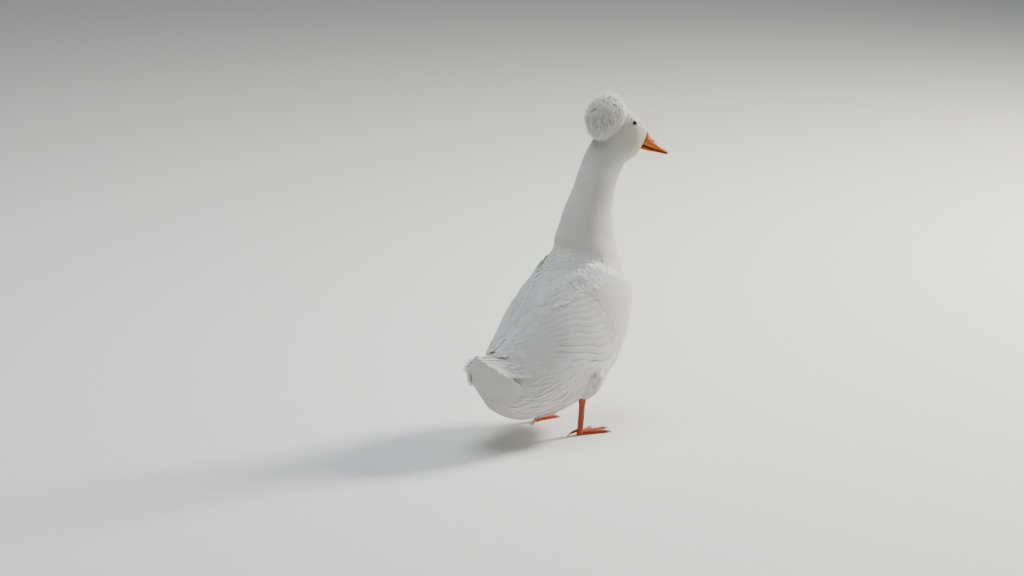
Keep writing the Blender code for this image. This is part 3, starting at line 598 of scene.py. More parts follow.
def blades(name, centres, normals, halves, thicks, section, cup, roots_uv=None):
    """Feathers as closed blades. Each has its line of centres, its normals, its half widths left and
    right of the shaft in metres and its thickness there; the section is a loop of points given as
    a share of the half width and of the thickness, and the cup bends both edges down."""
    count, rings = centres.shape[:2]
    roots_uv = hide.near_uv(centres[:, 0]) if roots_uv is None else roots_uv
    halves, thicks = np.broadcast_to(halves, (count, rings, 2)), np.broadcast_to(thicks, (count, rings))
    share, level = np.array(section, float).T
    sides = len(share)
    ahead = unit(np.gradient(centres, axis=1))
    across = unit(np.cross(ahead, normals))
    up = np.cross(across, ahead)
    half = np.where(share < 0, halves[..., :1], halves[..., 1:])
    lift = level * thicks[..., None] - cup * share ** 2 * half
    points = centres[:, :, None] + across[:, :, None] * (share * half)[..., None]
    points = points + up[:, :, None] * lift[..., None]
    one, sizes = tube_faces(rings, sides)
    corners = (one + np.arange(count)[:, None] * rings * sides).ravel()
    made = mesh_of(name, points.reshape(-1, 3), corners, np.tile(sizes, count))
    ends = read(made.data.edges, "vertices", 2, int)
    ring, place = ends // sides % rings, ends % sides
    rim = (place[:, 0] == place[:, 1]) & (np.abs(share[place[:, 0]]) == 1)
    rim |= (ring[:, 0] == ring[:, 1]) & ((ring[:, 0] == 0) | (ring[:, 0] == rings - 1))
    made.data.attributes.new("sharp_edge", "BOOLEAN", "EDGE").data.foreach_set("value", rim)
    j, end = np.tile(np.arange(sides), rings - 1), np.arange(sides)
    patch_u = np.concatenate([np.stack([j, j + 1, j + 1, j], -1).ravel(), end[::-1], end]) / sides
    patch_v = one // sides / (rings - 1)
    patch = np.stack([patch_u, patch_v], -1) * PATCH + np.clip(roots_uv, 0, 1 - PATCH)[:, None]
    vane = np.tile(np.stack([share[one % sides], patch_v], -1), (count, 1))
    for layer, uv in (("OFBake", patch), ("vane", vane)):
        made.data.uv_layers.new(name=layer).data.foreach_set("uv", uv.astype(np.float32).ravel())
    return made


def half_widths(width, outline):
    """Half widths along feathers of one or many widths in mm, whose outline is a row of shares."""
    return 0.5 * MM * np.reshape(width, (-1, 1, 1)) * outline[:, None]


def tufts(name, centres, normals, width, thick, cup, roots_uv=None):
    """Small soft feathers, whose widths and thicknesses are in mm."""
    halves = half_widths(width, TUFT_WIDTHS)
    return blades(name, centres, normals, halves, thick * MM, TUFT_SECTION, cup, roots_uv)


hide = Hide(skin)
rng = np.random.default_rng(41)
normal_draw = rng.standard_normal
TUFT_SECTION = ((-1, 0), (0, 1), (1, 0))
TUFT_STEPS = np.array((0.0, 0.3, 0.62, 0.84, 0.95, 1.0))
TUFT_WIDTHS = np.array((0.6, 1.0, 1.0, 0.84, 0.56, 0.12))
TUFT_THICKS = np.array((1.0, 1.0, 0.9, 0.7, 0.5, 0.3))
TUFT_CUP = 0.05
# Along the body from rump to face, in mm: how far apart the feathers stand, their length, width
# and thickness, and how much each may turn from the lie, in degrees.
COAT_SPACING = (3.6, 3.8, 3.9, 3.1, 2.0, 1.7, 1.48, 1.3, 1.12, 1.1)
COAT_LENGTH = (27, 28, 28, 22, 14, 11, 9, 7, 5, 3.4)
COAT_WIDTH = (9.5, 11.0, 12.0, 9.6, 5.4, 4.0, 3.2, 2.6, 2.1, 1.8)
COAT_THICK = (0.16, 0.16, 0.16, 0.15, 0.13, 0.12, 0.11, 0.1, 0.1, 0.1)
COAT_STRAY = (11, 9, 6, 6, 5, 5, 5, 5, 5, 4)
ROOT_SUNK, SIZE_SPREAD = 0.4, 0.22
# Where no coat grows: under the wing's own feathers, in shares along and down the wing; inside the
# puff, at a share of its radius; near the eyes, in mm; and where the skin faces the bill.
BARE_ALONG, BARE_DOWN = (0.34, 0.80), (0.12, 0.88)
BARE_PUFF, BARE_LIDS, BILL_STATION, BILL_FACING = 0.82, 0.35, 26.0, -0.7
EYE_FORWARD, EYE_OUT, EYE_UP, EYE_RADIUS = 151.5, 17.0, 552.5, 6.2
# Each part of the coat and the stations between which it is rooted.
COAT_BANDS = (
    ("coat_rump", 0, 5.5), ("coat_flank", 5.5, 9.5), ("coat_breast", 9.5, 13.2), ("coat_collar", 13.2, 15.2),
    ("coat_neck", 15.2, 17.4), ("coat_nape", 17.4, 20.5), ("coat_head", 20.5, 27.1),
)
station, lie = hide.station, hide.lie
turned = np.degrees(np.abs(hide.angle))
u, v = wing_share(station, turned)
keep = np.ones(len(station))
keep[(u > BARE_ALONG[0]) & (u < BARE_ALONG[1]) & (v > BARE_DOWN[0]) & (v < BARE_DOWN[1])] = 0
keep[np.linalg.norm((hide.middle - crest_middle) / (CREST_RADII * MM), axis=1) < BARE_PUFF] = 0
for side, _ in SIDES:
    eye = stand(EYE_FORWARD, side * EYE_OUT, EYE_UP)
    keep[np.linalg.norm(hide.middle - eye, axis=1) < (EYE_RADIUS + BARE_LIDS) * MM] = 0
keep[(station > BILL_STATION) & ((unit(hide.cross) * lie).sum(1) < BILL_FACING)] = 0
# On the thighs the feathers lie down the leg; x, y and z are metres from the bird's middle.
THIGH_OUT, THIGH_LONG, THIGH_UP = (0.030, 0.045), (-0.055, -0.030), (-0.150, -0.112)
THIGH_LIE = np.array((0.0, 0.5, -0.85))
x, y, z = np.abs(hide.middle).T
thigh = smooth(-z, *THIGH_UP) * smooth(x, *THIGH_OUT) * smooth(-y, *THIGH_LONG)
lie = unit(lie * (1 - thigh[:, None]) + THIGH_LIE * thigh[:, None])
coat_finish = feather_finish("white_feather", WHITE, CREAM, 0.78, 0.25, 420, 0.35)


def coat_piece(name, band, spacing, sizes, rise):
    """Feathers rooted evenly over a part of the skin; the sizes are length, width, thickness in mm and
    the turn from the lie in degrees, each given for the coat's stations, and rise lifts their ends."""
    drawn, points, normals, uv = hide.roots(spacing * MM, band)
    s = hide.station[drawn]
    length, width, thick, stray = (np.interp(s, COAT_STATIONS, row) for row in sizes)
    size = 1 + SIZE_SPREAD * normal_draw(len(s)).clip(-1.5, 1.5)
    stray = np.radians(stray) * normal_draw(len(s)).clip(-2, 2)
    flow = unit(lie[drawn] - normals * (lie[drawn] * normals).sum(1, keepdims=True))
    flow = flow * np.cos(stray)[:, None] + np.cross(normals, flow) * np.sin(stray)[:, None]
    centres, normals = hide.follow(points, flow, length * MM * size, TUFT_STEPS)
    height = np.interp(s, COAT_STATIONS, COAT_DEPTHS) * (0.97 + 0.06 * rng.random(len(s)))
    height = height[:, None] * (1 - (1 - TUFT_STEPS) ** 3) - ROOT_SUNK
    height += rise * rng.random((len(s), 1)) * TUFT_STEPS ** 1.5
    centres = centres + normals * (height * MM)[..., None]
    width, thick = width * (0.6 + 0.4 * size), thick[:, None] * TUFT_THICKS
    dress(tufts(name, centres, normals, width, thick, TUFT_CUP, uv), coat_finish, "plumage")


spacing = np.interp(station, COAT_STATIONS, COAT_SPACING)
for name, low, high in COAT_BANDS:
    band = keep * ((station >= low) & (station < high))
    coat_piece(name, band, spacing, (COAT_LENGTH, COAT_WIDTH, COAT_THICK, COAT_STRAY), 0.0)

# Loose plumes on the flanks, over the thighs and round the vent, longer and softer than the rest.
PLUME_SPACING, PLUME_SIZES, PLUME_RISE = 5.5, (38, 4.6, 0.2, 11), 2.4
# Where they start and are full, and stop: in stations, and in degrees from the back; on the thighs
# they grow above a level in metres.
PLUMES_REAR, PLUMES_FRONT, PLUMES_TOP, PLUMES_UNDER = (3.5, 5.5), (9.8, 10.8), (84, 100), (150, 165)
PLUMES_OVER = 0.085
plumes = smooth(turned, *PLUMES_TOP) * (1 - smooth(station, *PLUMES_FRONT)) * smooth(station, *PLUMES_REAR)
plumes = np.maximum(plumes * (1 - smooth(turned, *PLUMES_UNDER)), thigh * (hide.middle[:, 2] > PLUMES_OVER))
sizes = [np.full(len(COAT_STATIONS), float(size)) for size in PLUME_SIZES]
coat_piece("flank_plumes", plumes * keep, np.full(len(station), PLUME_SPACING), sizes, PLUME_RISE)

# Wings. Each folded wing carries its feathers in overlapping tiers: small coverts on the shoulder,
# then longer coverts, the broad secondaries, the tertials over the back and the narrow primaries,
# whose tips meet over the rump. Every feather has a shaft and a vane of barbs that parts here and there.
VANE_SECTION = (
    (-1, 0.12), (-0.55, 0.3), (-0.1, 0.42), (0, 1.0), (0.1, 0.42), (0.55, 0.3), (1, 0.12),
    (1, -0.12), (0.55, -0.3), (0, -0.6), (-0.55, -0.3), (-1, -0.12),
)
VANE_T = np.array((0, 0.08, 0.2, 0.34, 0.48, 0.6, 0.7, 0.78, 0.85, 0.91, 0.96, 1.0))
VANE_RISE_T, VANE_RISE = (0, 0.45, 0.85, 1), (-0.7, 0.45, 0.8, 0.85)
VANE_OUTLINE_T = (0, 0.08, 0.3, 0.7, 0.8, 0.88, 0.94, 0.98)
VANE_OUTLINE = (0.35, 0.7, 0.95, 1.0, 0.97, 0.88, 0.70, 0.46)
NOTCH_DEEP, NOTCH_SHARE = 0.10, 0.35
# Tiers: how many, root and tip along the wing, first and last share across it at the roots and at
# the tips, width in mm, length lost from the top row to the bottom, and the lift over the flesh.
WING_TIERS = (
    (9, 0.60, 1.00, 0.25, 0.80, 0.24, 0.80, 11, -0.01, 0.0),
    (12, 0.42, 0.85, 0.10, 0.92, 0.08, 0.93, 17, 0.05, 0.0),
    (13, 0.27, 0.67, 0.08, 0.93, 0.05, 0.95, 17, 0.04, 0.15),
    (14, 0.16, 0.53, 0.07, 0.94, 0.04, 0.95, 16, 0.04, 0.2),
    (14, 0.10, 0.41, 0.08, 0.93, 0.05, 0.94, 15, 0.04, 0.25),
    (14, 0.06, 0.32, 0.09, 0.93, 0.06, 0.94, 14, 0.03, 0.25),
    (14, 0.03, 0.24, 0.10, 0.92, 0.08, 0.92, 13, 0.03, 0.25),
)
WING_TILT, WING_ROUND, WING_PARTINGS, WING_CUP = math.radians(1.6), 0.40, 0.5, 0.05
WING_THICKS = (0.42 - 0.24 * VANE_T) * MM
# The small coverts' rows, in shares along the wing, and how many there are to a row.
LESSER_ROWS = np.arange(0.26, -0.06, -0.013)
LESSER_COUNTS = (-0.05, 0.1, 0.3), (14, 24, 26)
LESSER_WIDE, LESSER_THICK, LESSER_LONG, LESSER_CUP = 9.2, 0.2, 0.055, 0.02
LESSER_OVER, LESSER_SUNK, LESSER_FRONT_SUNK = 1.3, 1.2, 2.2


def sheet_normals(centres, outward):
    """Normals of the sheet that one row of feathers makes, side by side, on the given side of it."""
    normals = unit(np.cross(np.gradient(centres, axis=0), np.gradient(centres, axis=1)))
    return unit(normals * np.sign((normals * outward).sum(-1, keepdims=True)) + 0.6 * outward)


def tilted(centres, normals, tilt):
    """Normals of feathers that are each tilted on their shafts."""
    ahead = unit(np.gradient(centres, axis=1))
    return unit(normals * np.cos(tilt) - np.cross(ahead, normals) * np.sin(tilt))


def vane_halves(width, tip, partings):
    """Half widths along feathers with a rounded tip and an edge that parts in small notches."""
    outline = np.interp(VANE_T, (*VANE_OUTLINE_T, 1.0), (*VANE_OUTLINE, 0.5 * tip))
    shape = (len(width), len(VANE_T), 2)
    notch = 1 - NOTCH_DEEP * rng.random(shape) * partings * (rng.random(shape) < NOTCH_SHARE)
    notch[:, 0] = 1
    return half_widths(width, outline) * notch


wing_finish = feather_finish("flight_feather", (0.86, 0.86, 0.85), CREAM, 0.62, 0.15, 300, 0.3, 520.0)
for side, word in SIDES:
    parts = []
    for count, root, tip, rv0, rv1, tv0, tv1, width, shorter, lift in WING_TIERS:
        share = np.linspace(0, 1, count)
        stray = 0.010 * normal_draw(count).clip(-1.5, 1.5)
        u0, v0 = root - 0.5 * shorter * share, rv0 + (rv1 - rv0) * share
        u1, v1 = tip - shorter * share + stray, tv0 + (tv1 - tv0) * share + 0.3 * stray
        u1 = np.minimum(u1, 1.0)
        u = u0[:, None] + (u1 - u0)[:, None] * VANE_T
        v = v0[:, None] + (v1 - v0)[:, None] * VANE_T
        station, angle = wing_place(u, v)
        rise = np.interp(VANE_T, VANE_RISE_T, VANE_RISE) + lift + 0.12 * rng.random((count, 1))
        centres = raised(station, side * angle, wing_height(u, v) + rise)
        normals = tilted(centres, body_normal(station, side * angle), side * WING_TILT)
        halves = vane_halves(width * (1 + 0.05 * normal_draw(count)), WING_ROUND, WING_PARTINGS)
        parts.append(blades("tier", centres, normals, halves, WING_THICKS, VANE_SECTION, WING_CUP))
    for row, u0 in enumerate(LESSER_ROWS):
        count = int(np.interp(u0, *LESSER_COUNTS))
        share = (np.arange(count) + 0.5 * (row % 2) + 0.25) / count
        v0 = (0.02 + 0.96 * share + 0.008 * normal_draw(count))[:, None]
        u = u0 + 0.006 * normal_draw((count, 1)) + (LESSER_LONG + 0.06 * max(u0, 0)) * TUFT_STEPS
        v = v0 + (0.03 * (v0 - 0.5)) * TUFT_STEPS
        station, angle = wing_place(u, v)
        rise = LESSER_OVER - LESSER_SUNK * (1 - TUFT_STEPS) ** 2 + 0.1 * rng.random((count, 1))
        rise = rise - LESSER_FRONT_SUNK * smooth(-u, 0.0, 0.05)
        centres = raised(station, side * angle, wing_height(u, v) + rise)
        normals = sheet_normals(centres, body_normal(station, side * angle))
        parts.append(tufts("lesser", centres, normals, LESSER_WIDE, LESSER_THICK, LESSER_CUP))
    dress(joined("wing_feathers_" + word, parts), wing_finish, "plumage", "wing_" + word)

# Back. Long soft scapulars lie from the base of the neck over the back and over the upper edges
# of both wings, so that body and wings close into one smooth mantle; others close their lower edges.
SOFT_SECTION = ((-1, 0.15), (-0.5, 0.6), (0, 1.0), (0.5, 0.6), (1, 0.15), (1, -0.15), (-1, -0.15))
BACK_CUP, BACK_TAIL_END, BACK_PARTINGS, SIDE_PARTINGS = 0.03, 0.5, 1.0, 1.2
BACK_THICKS = (0.27 - 0.14 * VANE_T) * MM
DRAPE_OVER, DRAPE_FRONT = 1.3, (-12.5, -11.4)
SCAPULAR_ROWS = np.concatenate([np.arange(13.4, 11.2, -0.25), np.arange(11.2, 2.2, -0.42)])
SCAPULAR_APART, SCAPULAR_WIDE, SCAPULAR_LONG, SCAPULAR_SUNK = 8.5, 16.0, 1.35, 3.2
SCAPULAR_HIGHEST, SCAPULAR_PAST = 72, 18
SIDE_ROWS = np.arange(11.6, 2.4, -0.40)
SIDE_APART, SIDE_BREADTH, SIDE_WIDE, SIDE_LONG, SIDE_ABOVE, SIDE_SUNK = 7.0, 36.0, 13.0, 1.3, 9, 3.0
# Toward the neck both kinds grow finer, between two stations and down to a share of their size.
SCAPULAR_FINER, SIDE_FINER = ((10.0, 13.4), (1.0, 0.45)), ((9.5, 11.6), (1.0, 0.5))


def over_wing(s_line, angle, before, after, deepest):
    """How high feathers lie that drape over an edge of the wing, in mm over the body."""
    turned = np.degrees(np.abs(angle))
    upper, lower = wing_edges(s_line)
    u, v = wing_share(s_line, turned)
    over = smooth(turned, upper - before, upper + after) * (1 - smooth(turned, lower - after, lower + before))
    flesh_height = wing_height(u, np.clip(v, deepest, 1 - deepest))
    return (flesh_height + DRAPE_OVER) * over * smooth(-s_line, *DRAPE_FRONT)


def back_lines(station, count, long):
    """The stations along feathers that run from about one station toward the tail."""
    start = station + 0.12 * normal_draw(count)
    long = long * (1 + 0.08 * normal_draw((count, 1)))
    return np.maximum(start[:, None] - long * VANE_T, BACK_TAIL_END)


def back_row(name, s_line, angle, lift, width, tip, partings):
    centres = raised(s_line, angle, lift)
    normals = sheet_normals(centres, body_normal(s_line, angle))
    halves = vane_halves(width, tip, partings)
    return blades(name, centres, normals, halves, BACK_THICKS, SOFT_SECTION, BACK_CUP)


parts = []
for row, station in enumerate(SCAPULAR_ROWS):
    upper = wing_edges(station)[0]
    half_turn = math.radians(min(upper, SCAPULAR_HIGHEST) + SCAPULAR_PAST)
    finer = np.interp(station, *SCAPULAR_FINER)
    breadth = np.linalg.norm(body_point(station, half_turn) - body_point(station, -half_turn)) * 1.15
    count = max(4, int(breadth / (SCAPULAR_APART * finer * MM)))
    share = np.linspace(-1, 1, count) + 0.5 * (row % 2) / count
    angle0 = share * half_turn + 0.03 * normal_draw(count)
    s_line = back_lines(station, count, SCAPULAR_LONG * finer)
    narrow = wing_edges(s_line)[0] / upper
    angle = angle0[:, None] * (0.25 + 0.75 * np.clip(narrow, 0.3, 1.2))
    drape = np.maximum(over_wing(s_line, angle, 14, 4, 0.12), 1.2 * smooth(-s_line, -5.5, -3.0))
    flat = 0.3 - 1.2 * smooth(s_line, 11.2, 13.2)
    lift = -SCAPULAR_SUNK * (1 - VANE_T) ** 2 + flat + drape * np.minimum(1, 2.2 * VANE_T + 0.2)
    width = SCAPULAR_WIDE * finer * (1 + 0.06 * normal_draw(count))
    parts.append(back_row("scapulars", s_line, angle, lift, width, 0.36, BACK_PARTINGS))
for row, station in enumerate(SIDE_ROWS):
    lower = math.radians(wing_edges(station)[1])
    mm_a_turn = np.linalg.norm(body_point(station, lower + 0.1) - body_point(station, lower - 0.1)) / 0.2 / MM
    finer = np.interp(station, *SIDE_FINER)
    count = int(SIDE_BREADTH / SIDE_APART / finer)
    for side, _ in SIDES:
        below = np.linspace(-SIDE_ABOVE, SIDE_BREADTH - SIDE_ABOVE, count)
        below = below + 0.5 * SIDE_APART * finer * (row % 2)
        s_line = back_lines(station, count, SIDE_LONG * finer)
        below = below + 0.8 * normal_draw(count)
        angle = np.radians(wing_edges(s_line)[1]) + (below[:, None] + 1.5 * VANE_T) / mm_a_turn
        drape = over_wing(s_line, angle, 13, 3, 0.06)
        lift = -SIDE_SUNK * (1 - VANE_T) ** 2 + drape * np.minimum(1, 2.2 * VANE_T + 0.2)
        width = SIDE_WIDE * finer * (1 + 0.08 * normal_draw(count))
        parts.append(back_row("side_feathers", s_line, side * angle, lift, width, 0.35, SIDE_PARTINGS))
dress(joined("scapulars", parts), wing_finish, "plumage")

# Tail. Stiff feathers with strong shafts stand in an arch over a hollow, carried a little higher on
# the right; shorter coverts lie over their roots, and soft coverts fill the underside to the vent.
TAIL_ROOTS = np.array(((-136, -57, 140), (-146, -36, 166), (-152, 0, 175), (-148, 30, 160), (-141, 48, 122)))
TAIL_TIPS = np.array(((-190, -40, 153), (-206, -18, 168), (-217, 8, 178), (-212, 38, 148), (-184, 54, 107)))
TAIL_SAG, TAIL_TILT, TAIL_TIP, TAIL_PARTINGS, TAIL_CUP = 3.0, math.radians(5), 0.4, 1.2, 0.08
TAIL_THICKS = (0.8 - 0.4 * VANE_T) * MM
# Rows: how many feathers, width and lift in mm, and the shares of the tail's length that they reach
# and that their roots lie before it.
TAIL_ROWS = (
    (18, 18, 0.0, 1.0, 0.0), (14, 19, 1.0, 0.72, 0.12), (13, 19, 1.9, 0.50, 0.15), (12, 19, 2.6, 0.30, 0.2),
)


def arch_place(arch, share):
    """Places on an arch of the tail, at shares from -1 on its right to 1 on its left."""
    forward, left, up = np.moveaxis(along(arch, (share + 1) * (len(arch) - 1) / 2), -1, 0)
    return stand(forward, left, up, 0.0)


def tail_row(count, width, lift, reach, deeper):
    """One row of feathers square to the tail's arch."""
    share = -1 + 2 * (np.arange(count) + 0.5) / count
    arches = (TAIL_ROOTS, TAIL_TIPS)
    start, end = (arch_place(arch, share) for arch in arches)
    aside = sum(arch_place(arch, share + 0.1) - arch_place(arch, share - 0.1) for arch in arches)
    face = unit(np.cross(aside, end - start))
    reach = reach * (1 + 0.03 * normal_draw(count).clip(-1.5, 1.5))[:, None, None]
    way = VANE_T[:, None] * (reach + deeper) - deeper
    height = (lift - TAIL_SAG * np.sin(np.pi * np.clip(way, 0, 1))) * MM
    centres = start[:, None] + (end - start)[:, None] * way + face[:, None] * height
    normals = np.repeat(face[:, None], len(VANE_T), 1)
    normals = tilted(centres, normals, (TAIL_TILT * np.sign(share))[:, None, None])
    halves = vane_halves(np.full(count, float(width)), TAIL_TIP, TAIL_PARTINGS)
    uv = hide.near_uv(start)
    return blades("tail_row", centres, normals, halves, TAIL_THICKS, VANE_SECTION, TAIL_CUP, uv)


rows = [tail_row(*row) for row in TAIL_ROWS]
# Under the tail, small soft feathers lie on a sheet that runs from the vent out to the tail's inside.
UNDER_ROWS, UNDER_COUNT = np.arange(0.0, 0.88, 0.033), 38
UNDER_STATION, UNDER_SPREAD, UNDER_INNER, UNDER_REACH, UNDER_INSET = 2.9, 1.5, 0.88, 0.86, 6.0
UNDER_LONG, UNDER_WIDE, UNDER_THICK, UNDER_ROUND, UNDER_SUNK = 0.16, 10.5, 0.16, 6, 2.0
for row, way in enumerate(UNDER_ROWS):
    share = -1 + 2 * (np.arange(UNDER_COUNT) + 0.25 + 0.5 * (row % 2)) / UNDER_COUNT
    share = share + 0.01 * normal_draw(UNDER_COUNT)
    around, vent = np.pi - share * UNDER_SPREAD, np.full(UNDER_COUNT, UNDER_STATION)
    start, face = raised(vent, around, np.full(UNDER_COUNT, -UNDER_SUNK)), body_normal(vent, around)
    inner = UNDER_INNER * share
    root, tip = arch_place(TAIL_ROOTS, inner), arch_place(TAIL_TIPS, inner)
    aside = arch_place(TAIL_TIPS, inner + 0.08) - arch_place(TAIL_TIPS, inner - 0.08)
    inward = unit(np.cross(tip - root, aside))
    end = root + (tip - root) * UNDER_REACH + inward * (UNDER_INSET * MM)
    t = way + (UNDER_LONG + 0.02 * normal_draw((UNDER_COUNT, 1))) * TUFT_STEPS
    centres = start[:, None] + (end - start)[:, None] * t[..., None]
    centres += face[:, None] * (UNDER_ROUND * MM * np.sin(np.pi * t))[..., None]
    normals = unit(np.cross(np.gradient(centres, axis=0), np.gradient(centres, axis=1)))
    normals *= np.sign((normals * (face + inward)[:, None]).sum())
    centres += normals * ((0.9 * TUFT_STEPS - 0.6 + 0.2 * rng.random((UNDER_COUNT, 1))) * MM)[..., None]
    width = UNDER_WIDE * (1 + 0.12 * normal_draw(UNDER_COUNT))
    rows.append(tufts("under_row", centres, normals, width, UNDER_THICK, TUFT_CUP, hide.near_uv(start)))
dress(joined("tail_feathers", rows), wing_finish, "plumage", "tail")

# Crest. A powder puff of soft curling plumes on a cushion at the back of the skull. Each plume
# springs outward and droops to the rear at its tip, and a few strays stand out at the top.
CURL_SHARE = np.array((0.5, 0.72, 0.87, 0.955, 0.99, 1.0))
CURL_BEND = np.array((0.0, 0.05, 0.16, 0.32, 0.48, 0.62))
CURL_WIDTH = np.array((0.6, 1.0, 1.0, 0.75, 0.45, 0.1))
CURL_THICK = np.array((0.3, 0.3, 0.3, 0.25, 0.2, 0.1)) * MM
CURL_ASIDE = np.array((0.0, 0.6, 0.2, -0.6, -0.5, 0.2)) * MM
CURL_CUP = 0.3
# Layers: how many plumes, the share of the puff's radius that they reach, their width in mm, and
# whether strays stand out of the layer.
CREST_LAYERS = (("crest_plumes", 7000, 0.94, 1.4, True), ("crest_underdown", 4600, 0.86, 1.8, False))
# The puff's locks of plumes and the lumps that they make, in number and height; how far plumes bend
# to their lock, and how many of them stray and how far, everywhere and at the top.
LOCKS, LUMPS, LUMP_HIGH, GATHER = 330, 22, 0.03, 0.62
STRAYS, TOP_STRAYS, STRAY_OUT, TOP_STRAY_OUT = 0.035, 0.07, 0.09, 0.16
SKULL_PART, CUSHION = 0.72, 0.60


def even_headings(count):
    """Headings spread over a ball along a spiral, evenly but for a small shift of each."""
    flat = 1 - 2 * (np.arange(count) + 0.5) / count
    turn = np.arange(count) * math.pi * (3 - math.sqrt(5))
    even = np.stack([np.sqrt(1 - flat ** 2) * np.cos(turn), np.sqrt(1 - flat ** 2) * np.sin(turn), flat], -1)
    return unit(even + 0.05 * normal_draw((count, 3)))


def ball(name, segments, rings, radius, centre):
    """A smooth round ball."""
    bpy.ops.object.select_all(action="DESELECT")
    bpy.ops.mesh.primitive_uv_sphere_add(segments=segments, ring_count=rings, radius=radius, location=centre)
    made = bpy.context.active_object
    made.name = name
    made.data.shade_smooth()
    return made


locks = even_headings(LOCKS)
lock_reach = 1 + 0.035 * normal_draw(LOCKS)
for heading in unit(normal_draw((LUMPS, 3))):
    lock_reach += LUMP_HIGH * smooth(locks @ heading, 0.80, 0.97)
to_skull = unit(stand(0, 0, 0) - stand(-0.8, 0, 0.6))
wisp_heading = unit(stand(0.35, -0.1, 1.0) - stand(0, 0, 0))
crest_finish = feather_finish("crest_down", (0.88, 0.88, 0.86), (0.84, 0.82, 0.75), 0.85, 0.4, 500, 0.3)
for name, plumes, length, width, strays in CREST_LAYERS:
    out = even_headings(plumes)
    out = out[(out @ to_skull) < SKULL_PART]
    lock = np.argmax(out @ locks.T, axis=1)
    droop = np.array((0.0, 0.0, -1.0)) + locks[lock] * locks[lock][:, 2:]
    droop = unit(droop + 0.3 * normal_draw(out.shape))
    at_top = smooth(out @ wisp_heading, 0.78, 0.97)
    stray = (rng.random(len(out)) < STRAYS + TOP_STRAYS * at_top) & strays
    reach = length * lock_reach[lock] + 0.02 * normal_draw(len(out)).clip(-2, 2)
    reach += stray * (STRAY_OUT + TOP_STRAY_OUT * at_top * rng.random(len(out)))
    gather = GATHER * (CURL_SHARE[:, None] - 0.5) / 0.5 * (1 - 0.8 * stray[:, None, None])
    bend = CURL_BEND[:, None] * (0.7 + 0.6 * rng.random((len(out), 1, 1)))
    path = unit(out[:, None] * (1 - gather) + locks[lock][:, None] * gather + droop[:, None] * bend)
    centres = crest_place(path, CURL_SHARE * reach[:, None])
    curl = unit(np.cross(out, normal_draw(out.shape)))
    centres += curl[:, None] * CURL_ASIDE[:, None]
    normals = np.broadcast_to(unit(out - droop)[:, None], path.shape)
    halves = half_widths(width * (1 + 0.2 * normal_draw(len(out)).clip(-1.5, 1.5)), CURL_WIDTH)
    layer = blades(name, centres, normals, halves, CURL_THICK, TUFT_SECTION, CURL_CUP)
    dress(layer, crest_finish, "plumage", *(["crest"] if strays else []))
pad = ball("crest_cushion", 32, 20, 1, (0, 0, 0))
points = unit(read(pad.data.vertices, "co", 3))
points = crest_place(points, np.full(len(points), CUSHION))
write_points(pad, points)
dress(pad, underdown_finish, "plumage")

# Bill. Orange horn in two halves, the upper one with a slit nostril on each side, a raised hooked
# nail at its tip and a soft edge along the mouth; it is darker on the nail, and painted shade darkens
# it along the mouth where the halves meet.
def horn_finish(name, colour, dark, centre, reach, roughness, scale, bump, seam=""):
    """Horn or scaled skin with a fine grain, dark near a place, and with painted shade along a seam where an
    attribute is given.
    """
    made, tree, shader = new_finish(name)
    place = made_by(tree, "TexCoord", "Object", {})
    cloud = made_by(tree, "TexNoise", "Fac", {"Vector": place, "Scale": scale * 0.25, "Detail": 6})
    light = math_of(tree, "MULTIPLY_ADD", cloud, 0.35, ranged(tree, far_from(tree, place, centre), *reach))
    # Painted shade: an attribute, where given, darkens the horn along a seam.
    if seam:
        line = made_by(tree, "Attribute", "Fac", {}, attribute_name=seam)
        light = math_of(tree, "MULTIPLY_ADD", line, -1.1, light)
    inputs = {"Vector": place, "Scale": scale}
    cells = made_by(tree, "TexVoronoi", "Distance", inputs, feature="DISTANCE_TO_EDGE")
    plug(tree, shader, {
        "Base Color": ramp(tree, light, (0.15, dark), (0.75, colour)),
        "Normal": bumped(tree, bump, 0.0004, cells), "Roughness": roughness, "Specular IOR Level": 0.35,
        "Subsurface Weight": 0.08, "Subsurface Radius": (0.004, 0.0015, 0.0008),
    })
    return made


BILL_HALVES = ("bill_upper", "bill_lower")
# How near the other half, in mm, the painted shade along the mouth is full, and where it ends.
MOUTH_NEAR, MOUTH_FAR = 0.5, 2.0
BILL_VOXEL, BILL_SWELL = 0.0005, 0.0003
BILL_ORANGE, BILL_DARK = (0.55, 0.14, 0.014), (0.13, 0.045, 0.015)
TIP_REACH = (0.004, 0.017)
tip = tuple(stand(221.0, 0, 492.0))
bill_finish = horn_finish("bill_orange", BILL_ORANGE, BILL_DARK, tip, TIP_REACH, 0.4, 900, 0.12, "mouth_painted_shade")
halves = [node_copy(name) for name in BILL_HALVES]
depsgraph = bpy.context.evaluated_depsgraph_get()
surfaces = [BVHTree.FromObject(half, depsgraph) for half in halves]
for half, other, name in zip(halves, surfaces[::-1], BILL_HALVES):
    apply_step(half, "REMESH", mode="VOXEL", voxel_size=BILL_VOXEL, use_smooth_shade=True)
    apply_step(half, "SMOOTH", factor=0.6, iterations=6)
    apply_step(half, "DISPLACE", strength=BILL_SWELL, mid_level=0.0)
    # Painted shade along the mouth: each half darkens where it lies near the other.
    far = np.array([other.find_nearest(vertex.co)[3] for vertex in half.data.vertices]) / MM
    line = half.data.attributes.new("mouth_painted_shade", "FLOAT", "POINT")
    line.data.foreach_set("value", 1 - smooth(far, MOUTH_NEAR, MOUTH_FAR))
    half.name = "horn_" + name
    dress(half, bill_finish, "bill_horn", name)

